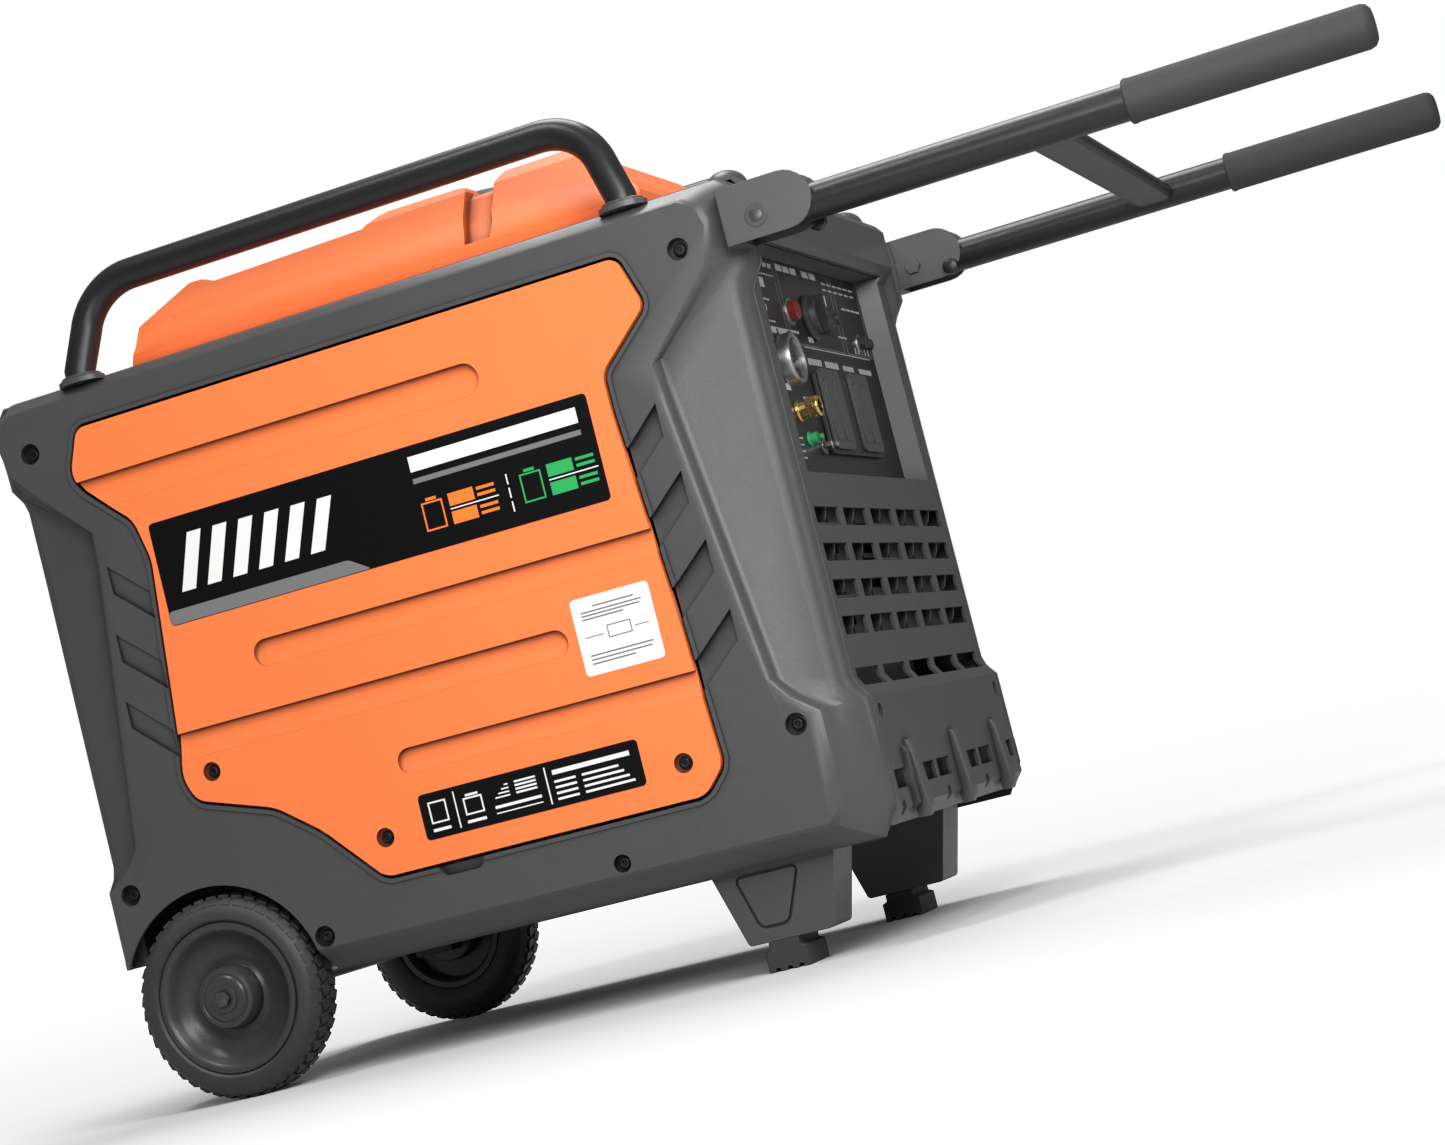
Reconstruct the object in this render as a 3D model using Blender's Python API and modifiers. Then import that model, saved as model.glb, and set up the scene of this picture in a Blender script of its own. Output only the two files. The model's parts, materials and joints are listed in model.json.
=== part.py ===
"""Inverter generator on wheels, built piece by piece: shells, running gear, folding handle, engine and panel.

Everything is drawn in metres with X = 0 at the wheel axle, Y = 0 at the middle plane and Z = 0 on the floor.
+X is the end with the control panel, +Y is the left side. At the end the whole model slides along X, so that
its origin stands under the middle of its bounding box.
"""

import math

import bmesh
import bpy
from mathutils import Matrix, Vector

# ---- clearances ----
TOUCH = 0.0003          # between faces that rest on each other
FIT = 0.0005            # round a cover in its opening
RUN = 0.0006            # round a shaft or a button that moves

# ---- housing ----
HOUSING_LENGTH = 0.716  # at the waist
REAR_OVERHANG = 0.097   # from the axle back to the tail
EAR_OUT = 0.013         # how far the four upper corners stand out
EAR_INSET = 0.018       # how far behind the waist a side face ends at these corners
BASE_OUT = 0.011        # how far the foot bulge stands out
REAR_FACE_EXTRA = 0.018 # how much further the rear half of a side face reaches
FACE_Y = 0.260          # outer face of a side shell
SHELL_DEPTH = 0.034     # from that face in to the seam with the end covers
BOTTOM_Z = 0.090
TOP_Z = 0.660
WALL = 0.003            # every moulded wall
REAR_CUT_Z = 0.135      # lowest point of the housing behind the wheels
COVER_PROUD = 0.0025    # how far a service cover stands out of its shell
COVER_WALL = 0.004

WAIST_HALF = HOUSING_LENGTH / 2
BODY_MIDDLE_X = WAIST_HALF - REAR_OVERHANG
NOSE = BODY_MIDDLE_X + WAIST_HALF
TAIL = -REAR_OVERHANG
EAR_HALF = WAIST_HALF + EAR_OUT
BASE_HALF = WAIST_HALF + BASE_OUT
SEAM_Y = FACE_Y - SHELL_DEPTH
COVER_EDGE = SEAM_Y - FIT
COVER_Y = FACE_Y + COVER_PROUD
FRONT_X = NOSE - FIT
REAR_X = TAIL + FIT

# ---- panel end ----
RECESS_HALF = SEAM_Y - 0.021
RECESS_LOW = TOP_Z - 0.2573
RECESS_HIGH = TOP_Z - 0.051
RECESS_SLOPE = 0.015    # how far the recess narrows towards the panel
RECESS_DEPTH = 0.017
HOOD_LOW = TOP_Z - 0.056
HOOD_OUT = 0.0125       # how far the hood stands out from the waist
BULGE_OUT = 0.0115      # how far the foot bulge stands out
BULGE_LOW = BOTTOM_Z + 0.007
BULGE_HIGH = BOTTOM_Z + 0.116
LOUVRE_ROWS = (0.365, 0.333, 0.301, 0.269, 0.224)
REAR_ROWS = (0.500, 0.468, 0.436, 0.404)
LOUVRE_COLUMNS = 5
LOUVRE_HALF = SEAM_Y - 0.017
LOUVRE_HEIGHT = 0.016
LOUVRE_BAR = 0.016      # bar between two slots
PANEL_T = 0.003
PANEL_X = FRONT_X - WALL - RECESS_DEPTH     # face of the control panel

# ---- running gear ----
WHEEL_R = 0.0903
TYRE_OUT = FACE_Y + 0.002
TYRE_WIDTH = 0.047
TYRE_IN = TYRE_OUT - TYRE_WIDTH
RIM_R = WHEEL_R - 0.0326
ARCH_R = WHEEL_R + 0.0087
AXLE_R = 0.010
HUB_OUT = FACE_Y + 0.005
AXLE_HALF = HUB_OUT + 0.0002
BOLT_OUT = FACE_Y + 0.011
BASE_Z = WHEEL_R + AXLE_R + 0.0037
BASE_T = 0.003
BASE_TOP = BASE_Z + BASE_T
LEG_TOP = (NOSE - 0.173, NOSE - 0.053)
LEG_LOW = (NOSE - 0.150, NOSE - 0.074)
LEG_Z = 0.026
FOOT_X = (NOSE - 0.1382, NOSE - 0.1011)
FOOT_Y = (FACE_Y - 0.103, FACE_Y - 0.0466)
FOOT_STEP_Z = 0.017

# ---- folding handle ----
PIVOT_X = NOSE + 0.031
PIVOT_Z = TOP_Z - 0.0472
TUBE_Y = FACE_Y - 0.0095
TUBE_R = 0.0155
TUBE_WALL = 0.0015
TUBE_LENGTH = 0.516     # from the pivot
GRIP_LENGTH = 0.2024
GRIP_WALL = 0.0034
PLATE_T = 0.003
TUBE_PLAY = 0.0004      # between a tube and each plate of its bracket
PLATE_REACH = 0.050     # from the pivot to the rounded end of a plate
PLATE_LOW = PIVOT_Z - 0.0188
PLATE_HIGH = PIVOT_Z + 0.0302
PIVOT_BOLT_R = 0.005
CROSSBAR_FROM = 0.224   # from the pivot
CROSSBAR_WIDTH = 0.040
CROSSBAR_T = 0.016
LOCK_X = PIVOT_X + 0.038
LOCK_Z = PIVOT_Z - 0.0123
LOCK_R = 0.003
LOCK_KNOB_R = 0.008

GRIP_R = TUBE_R + GRIP_WALL
TUBE_END_X = PIVOT_X + TUBE_LENGTH
GRIP_END_X = TUBE_END_X + WALL
GRIP_START_X = GRIP_END_X - GRIP_LENGTH
PLATE_OUT = TUBE_Y + TUBE_R + TUBE_PLAY + PLATE_T
PLATE_IN = TUBE_Y - TUBE_R - TUBE_PLAY - PLATE_T
PIVOT_BOLT_OUT = PLATE_OUT + 0.0016
PLATE_END_X = PIVOT_X + PLATE_REACH
CROSSBAR_X = (PIVOT_X + CROSSBAR_FROM, PIVOT_X + CROSSBAR_FROM + CROSSBAR_WIDTH)

# ---- lift bars ----
BAR_R = 0.014
BAR_Y = FACE_Y - 0.020  # at the foot
BAR_TOP_Y = FACE_Y - 0.034
BAR_FEET_X = (TAIL + 0.0885, NOSE - 0.089)
BAR_BENDS_X = (TAIL + 0.111, NOSE - 0.111)
BAR_Z = TOP_Z + 0.083
BAR_BEND_R = 0.055
BAR_HEEL = 0.008        # upright stretch at each foot

# ---- tank and tank cover ----
TANK_X = (TAIL + 0.132, NOSE - 0.094)
TANK_HALF = SEAM_Y - 0.048
TANK_Z = (TOP_Z - 0.180, TOP_Z - 0.0035)
POST = 0.020            # square tank post
POSTS_X = (TAIL + 0.232, NOSE - 0.274)
COVER_X = (TAIL + 0.107, NOSE - 0.078)
DOME_LOW_HALF = SEAM_Y - 0.038
DOME_TOP_HALF = SEAM_Y - 0.076
CAP_AT = (NOSE - 0.269, -0.075)
CAP_R = 0.036
CAP_Z = (TOP_Z + 0.067, TOP_Z + 0.0895)
CAP_MARGIN = 0.004      # room round the cap for fingers
NECK_R = 0.026

# ---- engine ----
CRANK_X = 0.250
CRANK_Z = 0.245
CRANK_R = 0.0125
BLOCK_Y = (-0.085, 0.060)
BLOCK_HALF = 0.085
ROTOR_R = 0.076
FAN_R = 0.088
FAN_Y = (0.126, 0.150)
PULLEY_R = 0.050
PULLEY_Y = (0.166, 0.182)
RECOIL_Y = (0.158, 0.200)
RECOIL_R = 0.095
RECOIL_WALL = 0.003
PULL_Z = 0.385          # height of the recoil grip on the left cover

# ---- muffler, battery, air cleaner and inverter ----
TAIL_R = 0.017
TAIL_Z = 0.300
MUFFLER_X = (TAIL + 0.042, TAIL + 0.182)
MUFFLER_HALF_Y = 0.130
MUFFLER_Z = (0.215, 0.370)
BATTERY_X = (NOSE - 0.219, NOSE - 0.069)
BATTERY_Y = (-0.205, -0.105)
BATTERY_TOP = BASE_TOP + 0.108
CLEANER_HEIGHT = 0.130
INVERTER_X = (NOSE - 0.179, NOSE - 0.059)
INVERTER_Y = (-0.085, 0.195)
INVERTER_TOP = 0.330

# ---- panel fittings, placed by (y, z) on the panel's face ----
DIAL_AT = (0.0, RECESS_HIGH - 0.051)
DIAL_R = 0.022
BUTTON_AT = (-0.060, RECESS_HIGH - 0.049)
BUTTON_R = 0.009
ROCKER_AT = (0.058, RECESS_HIGH - 0.048)
ROCKER_R = 0.011
ROCKER_W = 0.012
BREAKER_AT = (0.150, RECESS_HIGH - 0.066)
BREAKER_R = 0.006
LOCKING_AT = (-0.112, RECESS_HIGH - 0.098)
LOCKING_R = 0.024
GAS_AT = (-0.114, RECESS_HIGH - 0.144)
EARTH_AT = (-0.100, RECESS_HIGH - 0.169)
FLAPS_Y = (-0.010, 0.085)
FLAP_W = 0.062
FLAP_Z = (RECESS_HIGH - 0.177, RECESS_HIGH - 0.102)
FLAP_T = 0.004

COLOURS = {
    "grey plastic": ((0.075, 0.075, 0.077), 0.5, 0.0),
    "orange plastic": ((0.90, 0.22, 0.05), 0.35, 0.0),
    "black plastic": ((0.02, 0.02, 0.022), 0.45, 0.0),
    "black steel": ((0.04, 0.04, 0.043), 0.3, 0.6),
    "bright steel": ((0.55, 0.55, 0.56), 0.3, 1.0),
    "rubber": ((0.03, 0.03, 0.03), 0.8, 0.0),
    "foam": ((0.10, 0.10, 0.10), 0.9, 0.0),
    "aluminium": ((0.60, 0.60, 0.61), 0.4, 1.0),
    "brass": ((0.72, 0.50, 0.18), 0.3, 1.0),
    "green": ((0.02, 0.25, 0.08), 0.5, 0.0),
    "red plastic": ((0.60, 0.03, 0.02), 0.4, 0.0),
}

for old in list(bpy.data.objects):
    bpy.data.objects.remove(old, do_unlink=True)

parts = bpy.data.collections.new("inverter_generator")
cutters = bpy.data.collections.new("cutters")
cutters.hide_render = True
for collection in (parts, cutters):
    bpy.context.scene.collection.children.link(collection)


# ---- tools for making shapes ----
def finish(name, look):
    """A Principled material of its own for one piece."""
    colour, roughness, metallic = COLOURS[look]
    material = bpy.data.materials.new(name + "_finish")
    material.use_nodes = True
    shader = material.node_tree.nodes["Principled BSDF"]
    shader.inputs["Base Color"].default_value = (*colour, 1.0)
    shader.inputs["Roughness"].default_value = roughness
    shader.inputs["Metallic"].default_value = metallic
    material.diffuse_color = (*colour, 1.0)
    return material


def as_object(name, bm, look=None, origin=(0, 0, 0)):
    """The bmesh as an object with its origin at the given point. Without a look it cuts or joins another."""
    bmesh.ops.translate(bm, vec=-Vector(origin), verts=bm.verts)
    bmesh.ops.recalc_face_normals(bm, faces=bm.faces)
    mesh = bpy.data.meshes.new(name)
    bm.to_mesh(mesh)
    bm.free()
    obj = bpy.data.objects.new(name, mesh)
    obj.location = origin
    if look is None:
        cutters.objects.link(obj)
        obj.hide_render = True
        obj.display_type = "WIRE"
    else:
        parts.objects.link(obj)
        mesh.materials.append(finish(name, look))
    return obj


def boolean(obj, other, operation):
    modifier = obj.modifiers.new(operation.lower(), "BOOLEAN")
    modifier.operation = operation
    modifier.solver = "EXACT"
    modifier.object = other
    return obj


def cut(obj, *others):
    for other in others:
        boolean(obj, other, "DIFFERENCE")
    return obj


def join(obj, *others):
    for other in others:
        boolean(obj, other, "UNION")
    return obj


def cube(bm, low, high):
    low, high = Vector(low), Vector(high)
    size = high - low
    matrix = Matrix.Translation((low + high) / 2) @ Matrix.Diagonal((size.x, size.y, size.z, 1.0))
    bmesh.ops.create_cube(bm, size=1.0, matrix=matrix)


def box(name, low, high, look=None, origin=(0, 0, 0)):
    bm = bmesh.new()
    cube(bm, low, high)
    return as_object(name, bm, look, origin)


TURN = {
    "X": Matrix.Rotation(math.pi / 2, 4, "Y"),
    "Y": Matrix.Rotation(-math.pi / 2, 4, "X"),
    "Z": Matrix(),
}


def rod(name, centre, axis, length, radius, steps=24, look=None, origin=(0, 0, 0)):
    """A solid cylinder along X, Y or Z."""
    bm = bmesh.new()
    matrix = Matrix.Translation(centre) @ TURN[axis]
    bmesh.ops.create_cone(
        bm, cap_ends=True, segments=steps, radius1=radius, radius2=radius, depth=length, matrix=matrix
    )
    return as_object(name, bm, look, origin)


def slab(name, loops, plane, low, high, look=None, origin=(0, 0, 0)):
    """A flat outline with its holes, drawn in the XZ, XY or YZ plane and thickened between low and high."""
    curve = bpy.data.curves.new(name, "CURVE")
    curve.dimensions = "2D"
    curve.fill_mode = "BOTH"
    curve.extrude = abs(high - low) / 2
    for loop in loops:
        spline = curve.splines.new("POLY")
        spline.points.add(len(loop) - 1)
        for point, (u, v) in zip(spline.points, loop):
            point.co = (u, v, 0.0, 1.0)
        spline.use_cyclic_u = True
    guide = bpy.data.objects.new(name + "_guide", curve)
    cutters.objects.link(guide)
    mesh = bpy.data.meshes.new_from_object(guide.evaluated_get(bpy.context.evaluated_depsgraph_get()))
    bm = bmesh.new()
    bm.from_mesh(mesh)
    bpy.data.objects.remove(guide, do_unlink=True)
    bmesh.ops.remove_doubles(bm, verts=bm.verts, dist=1e-6)
    middle = (low + high) / 2
    frames = {
        "XZ": Matrix(((1, 0, 0, 0), (0, 0, -1, middle), (0, 1, 0, 0), (0, 0, 0, 1))),
        "YZ": Matrix(((0, 0, 1, middle), (1, 0, 0, 0), (0, 1, 0, 0), (0, 0, 0, 1))),
        "XY": Matrix(((1, 0, 0, 0), (0, 1, 0, 0), (0, 0, 1, middle), (0, 0, 0, 1))),
    }
    bmesh.ops.transform(bm, matrix=frames[plane], verts=bm.verts)
    return as_object(name, bm, look, origin)


def turned(name, profile, axis, look=None, origin=(0, 0, 0), steps=24, ring=True):
    """A profile of (radius, height) pairs screwed round an axis; heights run along the axis."""
    area = sum(a[0] * b[1] - b[0] * a[1] for a, b in zip(profile, profile[1:] + profile[:1]))
    points = profile[::-1] if area > 0 else profile
    mesh = bpy.data.meshes.new(name)
    edges = [(i, i + 1) for i in range(len(points) - 1)]
    if ring:
        edges.append((len(points) - 1, 0))
    mesh.from_pydata([(r, 0.0, h) for r, h in points], edges, [])
    obj = bpy.data.objects.new(name, mesh)
    obj.matrix_world = Matrix.Translation(origin) @ TURN[axis]
    screw = obj.modifiers.new("turn", "SCREW")
    screw.steps = screw.render_steps = steps
    screw.use_merge_vertices = True
    screw.merge_threshold = 0.00001
    screw.use_smooth_shade = False
    if look is None:
        cutters.objects.link(obj)
        obj.hide_render = True
        obj.display_type = "WIRE"
    else:
        parts.objects.link(obj)
        mesh.materials.append(finish(name, look))
    return obj


def loft(name, first, second, look=None, capped=(True, True), origin=(0, 0, 0)):
    """Skins two closed rows of matching 3D points."""
    bm = bmesh.new()
    rows = [[bm.verts.new(point) for point in row] for row in (first, second)]
    for (a, b), (c, d) in zip(
        zip(rows[0], rows[0][1:] + rows[0][:1]), zip(rows[1], rows[1][1:] + rows[1][:1])
    ):
        bm.faces.new((a, b, d, c))
    for row, wanted in zip(rows, capped):
        if wanted:
            bm.faces.new(row)
    return as_object(name, bm, look, origin)


def grown(points, distance):
    """The outline moved outwards by a distance, its corners kept sharp."""
    area = sum(a[0] * b[1] - b[0] * a[1] for a, b in zip(points, points[1:] + points[:1]))
    sign = 1.0 if area > 0 else -1.0
    result = []
    for before, here, after in zip(points[-1:] + points[:-1], points, points[1:] + points[:1]):
        first = (Vector(here) - Vector(before)).normalized()
        second = (Vector(after) - Vector(here)).normalized()
        normal_1 = Vector((first.y, -first.x)) * sign
        normal_2 = Vector((second.y, -second.x)) * sign
        shift = (normal_1 + normal_2) / (1.0 + normal_1.dot(normal_2)) * distance
        result.append((here[0] + shift.x, here[1] + shift.y))
    return result


def bent_path(points, radius, steps=6):
    """The corners of a polyline rounded to a radius."""
    path = [Vector(points[0])]
    for before, here, after in zip(points, points[1:], points[2:]):
        here = Vector(here)
        back = (Vector(before) - here).normalized()
        ahead = (Vector(after) - here).normalized()
        half = math.acos(max(-1.0, min(1.0, back.dot(ahead)))) / 2
        reach = radius / math.tan(half)
        centre = here + (back + ahead).normalized() * radius / math.sin(half)
        start, end = here + back * reach - centre, here + ahead * reach - centre
        for step in range(steps + 1):
            path.append(centre + start.slerp(end, step / steps) * radius)
    path.append(Vector(points[-1]))
    return path


def tube(name, path, radius, look, sides=3):
    curve = bpy.data.curves.new(name, "CURVE")
    curve.dimensions = "3D"
    curve.bevel_depth = radius
    curve.bevel_resolution = sides
    curve.use_fill_caps = True
    spline = curve.splines.new("POLY")
    spline.points.add(len(path) - 1)
    for point, place in zip(spline.points, path):
        point.co = (*place, 1.0)
    obj = bpy.data.objects.new(name, curve)
    parts.objects.link(obj)
    curve.materials.append(finish(name, look))
    return obj


def arc(centre, radius, start, end, steps):
    """Points on a circle from one angle to another, in degrees."""
    angles = [math.radians(start + (end - start) * i / steps) for i in range(steps + 1)]
    return [(centre[0] + radius * math.cos(a), centre[1] + radius * math.sin(a)) for a in angles]


def span(side, inner, outer):
    """Low and high Y of something between two distances from the middle plane."""
    return (inner, outer) if side > 0 else (-outer, -inner)


SIDES = (("right", -1), ("left", 1))


# ---- housing ----
def corner_rows():
    """For each corner of one half: how far ahead and how high it lies on the face and on the seam."""
    return (
        ((WAIST_HALF - 0.036, TOP_Z - 0.015), (EAR_HALF - 0.019, TOP_Z)),
        ((WAIST_HALF - 0.022, TOP_Z - 0.024), (EAR_HALF - 0.005, TOP_Z - 0.010)),
        ((WAIST_HALF - EAR_INSET, TOP_Z - 0.040), (EAR_HALF, TOP_Z - 0.024)),
        ((WAIST_HALF - 0.025, TOP_Z - 0.070), (EAR_HALF, TOP_Z - 0.078)),
        ((WAIST_HALF - 0.093, TOP_Z - 0.140), (WAIST_HALF, TOP_Z - 0.099)),
        ((WAIST_HALF - 0.092, TOP_Z - 0.170), (WAIST_HALF, TOP_Z - 0.170)),
        ((WAIST_HALF - 0.063, BULGE_HIGH + 0.034), (WAIST_HALF, BULGE_HIGH + 0.018)),
        ((WAIST_HALF - 0.028, BULGE_HIGH - 0.002), (BASE_HALF, BULGE_HIGH)),
        ((WAIST_HALF - 0.028, BOTTOM_Z + 0.034), (BASE_HALF, BOTTOM_Z + 0.028)),
        ((WAIST_HALF - 0.040, BOTTOM_Z + 0.022), (BASE_HALF - 0.017, BOTTOM_Z)),
    )


def side_shell(name, side):
    face = []
    seam = []
    for (face_x, face_z), (seam_x, seam_z) in corner_rows():
        face.append((BODY_MIDDLE_X + face_x, side * FACE_Y, face_z))
        seam.append((BODY_MIDDLE_X + seam_x, side * SEAM_Y, seam_z))
    for (face_x, face_z), (seam_x, seam_z) in reversed(corner_rows()):
        face.append((BODY_MIDDLE_X - face_x - REAR_FACE_EXTRA, side * FACE_Y, face_z))
        seam.append((BODY_MIDDLE_X - seam_x, side * SEAM_Y, seam_z))
    shell = loft(name, face, seam, "grey plastic", capped=(True, False))
    wall = shell.modifiers.new("wall", "SOLIDIFY")
    wall.thickness = WALL
    wall.offset = -1.0
    wall.use_even_offset = True
    inside = box(name + "_inside", (-0.3, -SEAM_Y, 0.0), (0.9, SEAM_Y, 0.9))
    window = slab(
        name + "_window", [grown(service_outline(), FIT)], "XZ", *span(side, SEAM_Y + 0.006, FACE_Y + 0.02)
    )
    arch = rod(name + "_arch", (0, side * FACE_Y, WHEEL_R), "Y", 0.12, ARCH_R, 40)
    behind = box(name + "_behind", (-0.2, -0.3, 0.0), (-0.06, 0.3, REAR_CUT_Z))
    return cut(shell, inside, window, arch, behind)


def service_outline():
    """From the upper rear corner round the front, then back over the wheel arch."""
    front = [
        (0.1003, 0.0445), (0.0857, 0.0896), (0.1364, 0.1352), (0.1364, 0.1673), (0.1229, 0.3546),
        (0.1171, 0.4793), (0.1383, 0.5010),
    ]
    over_wheel = [
        (0.1787, 0.0687), (0.1298, 0.1217), (0.0908, 0.1514), (0.0180, 0.1751), (0.0095, 0.1959),
        (0.0126, 0.2161),
    ]
    rear = [(0.1264, 0.1772), (0.1176, 0.1388), (0.0738, 0.0973), (0.0680, 0.0830), (0.0833, 0.0445)]
    return (
        [(NOSE - behind, TOP_Z - drop) for behind, drop in front]
        + [(x, WHEEL_R + rise) for x, rise in over_wheel]
        + [(TAIL + ahead, TOP_Z - drop) for ahead, drop in rear]
    )


def end_sheet(outer):
    """A bent sheet's outline: the outer line, then back along its inner side."""
    inner = [Vector(p) for p in outer]
    result = []
    for i, here in enumerate(inner):
        first = (here - inner[i - 1]).normalized() if i else (inner[1] - here).normalized()
        second = (inner[i + 1] - here).normalized() if i + 1 < len(inner) else first
        normal_1, normal_2 = Vector((first.y, -first.x)), Vector((second.y, -second.x))
        shift = (normal_1 + normal_2) / (1.0 + normal_1.dot(normal_2)) * WALL
        result.append((here.x + shift.x, here.y + shift.y))
    return list(outer) + result[::-1]


def louvre_cutter(name, x_low, x_high, rows):
    """Rows of slots with equal bars between them, as one cutter of separate boxes."""
    slot = (2 * LOUVRE_HALF - (LOUVRE_COLUMNS - 1) * LOUVRE_BAR) / LOUVRE_COLUMNS
    bm = bmesh.new()
    for z in rows:
        for column in range(LOUVRE_COLUMNS):
            y = -LOUVRE_HALF + column * (slot + LOUVRE_BAR)
            cube(bm, (x_low, y, z - LOUVRE_HEIGHT / 2), (x_high, y + slot, z + LOUVRE_HEIGHT / 2))
    return as_object(name, bm)


def ring_points(x, half, low, high):
    return [(x, -half, low), (x, half, low), (x, half, high), (x, -half, high)]


def front_cover():
    hood_x, bulge_x = FRONT_X + HOOD_OUT, FRONT_X + BULGE_OUT
    outer = [
        (COVER_X[1] + FIT, TOP_Z), (hood_x - 0.006, TOP_Z), (hood_x, TOP_Z - 0.008),
        (hood_x, HOOD_LOW + 0.012), (FRONT_X, HOOD_LOW - 0.002), (FRONT_X, BULGE_HIGH + 0.018),
        (bulge_x, BULGE_HIGH), (bulge_x, BULGE_LOW + 0.012), (bulge_x - 0.010, BULGE_LOW),
    ]
    cover = slab("front_cover", [end_sheet(outer)], "XZ", -COVER_EDGE, COVER_EDGE, "grey plastic")
    rim = loft(
        "recess_rim",
        ring_points(FRONT_X - 0.0005, RECESS_HALF + WALL, RECESS_LOW - WALL, RECESS_HIGH + WALL),
        ring_points(PANEL_X + TOUCH, RECESS_HALF - RECESS_SLOPE + WALL, RECESS_LOW, RECESS_HIGH),
    )
    hollow = loft(
        "recess_hollow",
        ring_points(hood_x + 0.01, RECESS_HALF + 0.005, RECESS_LOW - 0.0015, RECESS_HIGH),
        ring_points(
            PANEL_X - 0.006, RECESS_HALF - RECESS_SLOPE - 0.002, RECESS_LOW + WALL, RECESS_HIGH - WALL
        ),
    )
    slots = louvre_cutter("front_slots", FRONT_X - 0.02, FRONT_X + 0.02, LOUVRE_ROWS)
    join(cover, rim)
    cut(cover, hollow, slots)
    for index, y in enumerate((-0.170, 0.0, 0.170)):
        fin = slab(
            f"fin_{index}",
            [[(bulge_x - 0.002, BULGE_LOW + 0.008), (bulge_x + 0.004, BULGE_LOW + 0.012),
              (bulge_x + 0.004, BULGE_HIGH - 0.052), (bulge_x - 0.002, BULGE_HIGH - 0.042)]],
            "XZ", y - 0.006, y + 0.006,
        )
        join(cover, fin)
    return cover


def rear_cover():
    ear_x, bulge_x = REAR_X - HOOD_OUT, REAR_X - BULGE_OUT
    outer = [
        (bulge_x, REAR_CUT_Z), (bulge_x, BULGE_HIGH), (REAR_X, BULGE_HIGH + 0.018),
        (REAR_X, HOOD_LOW - 0.023),
        (ear_x, HOOD_LOW), (ear_x, TOP_Z - 0.008), (ear_x + 0.006, TOP_Z), (COVER_X[0] - FIT, TOP_Z),
    ]
    cover = slab("rear_cover", [end_sheet(outer)], "XZ", -COVER_EDGE, COVER_EDGE, "grey plastic")
    slots = louvre_cutter("rear_slots", REAR_X - 0.02, REAR_X + 0.02, REAR_ROWS)
    outlet = rod("outlet_hole", (REAR_X, 0, TAIL_Z), "X", 0.06, TAIL_R + RUN * 2, 24)
    return cut(cover, slots, outlet)


def tank_cover():
    """An orange hump over a flat flange, hollow below, with a hole for the filler neck."""
    (rear, front), low = COVER_X, TOP_Z - 0.001
    top = [(rear + 0.002, low)]
    top += [(rear + ahead, TOP_Z + rise) for ahead, rise in (
        (0.010, 0.023), (0.015, 0.044), (0.072, 0.075), (0.096, 0.066), (0.252, 0.069)
    )]
    top += [(front - behind, TOP_Z + rise) for behind, rise in (
        (0.261, 0.080), (0.185, 0.078), (0.169, 0.071), (0.147, 0.071), (0.131, 0.077), (0.073, 0.070),
        (0.007, 0.026),
    )]
    top.append((front - 0.002, low))
    shoulder = [
        (DOME_LOW_HALF, TOP_Z - 0.002), (DOME_LOW_HALF, TOP_Z + 0.025), (DOME_TOP_HALF, TOP_Z + 0.069),
        (DOME_TOP_HALF - 0.030, TOP_Z + 0.081),
    ]
    across = [(-y, z) for y, z in shoulder] + shoulder[::-1]
    flange_low = TOP_Z - WALL
    cover = slab("tank_cover", [top], "XZ", -DOME_LOW_HALF - 0.01, DOME_LOW_HALF + 0.01, "orange plastic")
    boolean(cover, slab("dome_across", [across], "YZ", COVER_X[0] - 0.01, COVER_X[1] + 0.01), "INTERSECT")
    join(cover, box("flange", (COVER_X[0], -COVER_EDGE, flange_low), (COVER_X[1], COVER_EDGE, TOP_Z)))
    inner_top = grown(top, -WALL)
    inner_across = grown(across, -WALL)
    inner_top[0] = (inner_top[0][0], flange_low - 0.01)
    inner_top[-1] = (inner_top[-1][0], flange_low - 0.01)
    inner_across[0] = (inner_across[0][0], flange_low - 0.02)
    inner_across[-1] = (inner_across[-1][0], flange_low - 0.02)
    hollow = slab("dome_hollow", [inner_top], "XZ", -0.3, 0.3)
    boolean(hollow, slab("dome_hollow_across", [inner_across], "YZ", -0.2, 0.8), "INTERSECT")
    return cut(cover, hollow, rod("cap_well", (*CAP_AT, CAP_Z[0]), "Z", 0.08, CAP_R + CAP_MARGIN, 32))


def service_cover(name, side):
    cover = slab(
        name, [service_outline()], "XZ", *span(side, COVER_Y - COVER_WALL, COVER_Y), "orange plastic"
    )
    if side > 0:
        cut(cover, rod("grip_hole", (CRANK_X, COVER_Y, PULL_Z), "Y", 0.04, 0.016, 24))
    return cover


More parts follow.
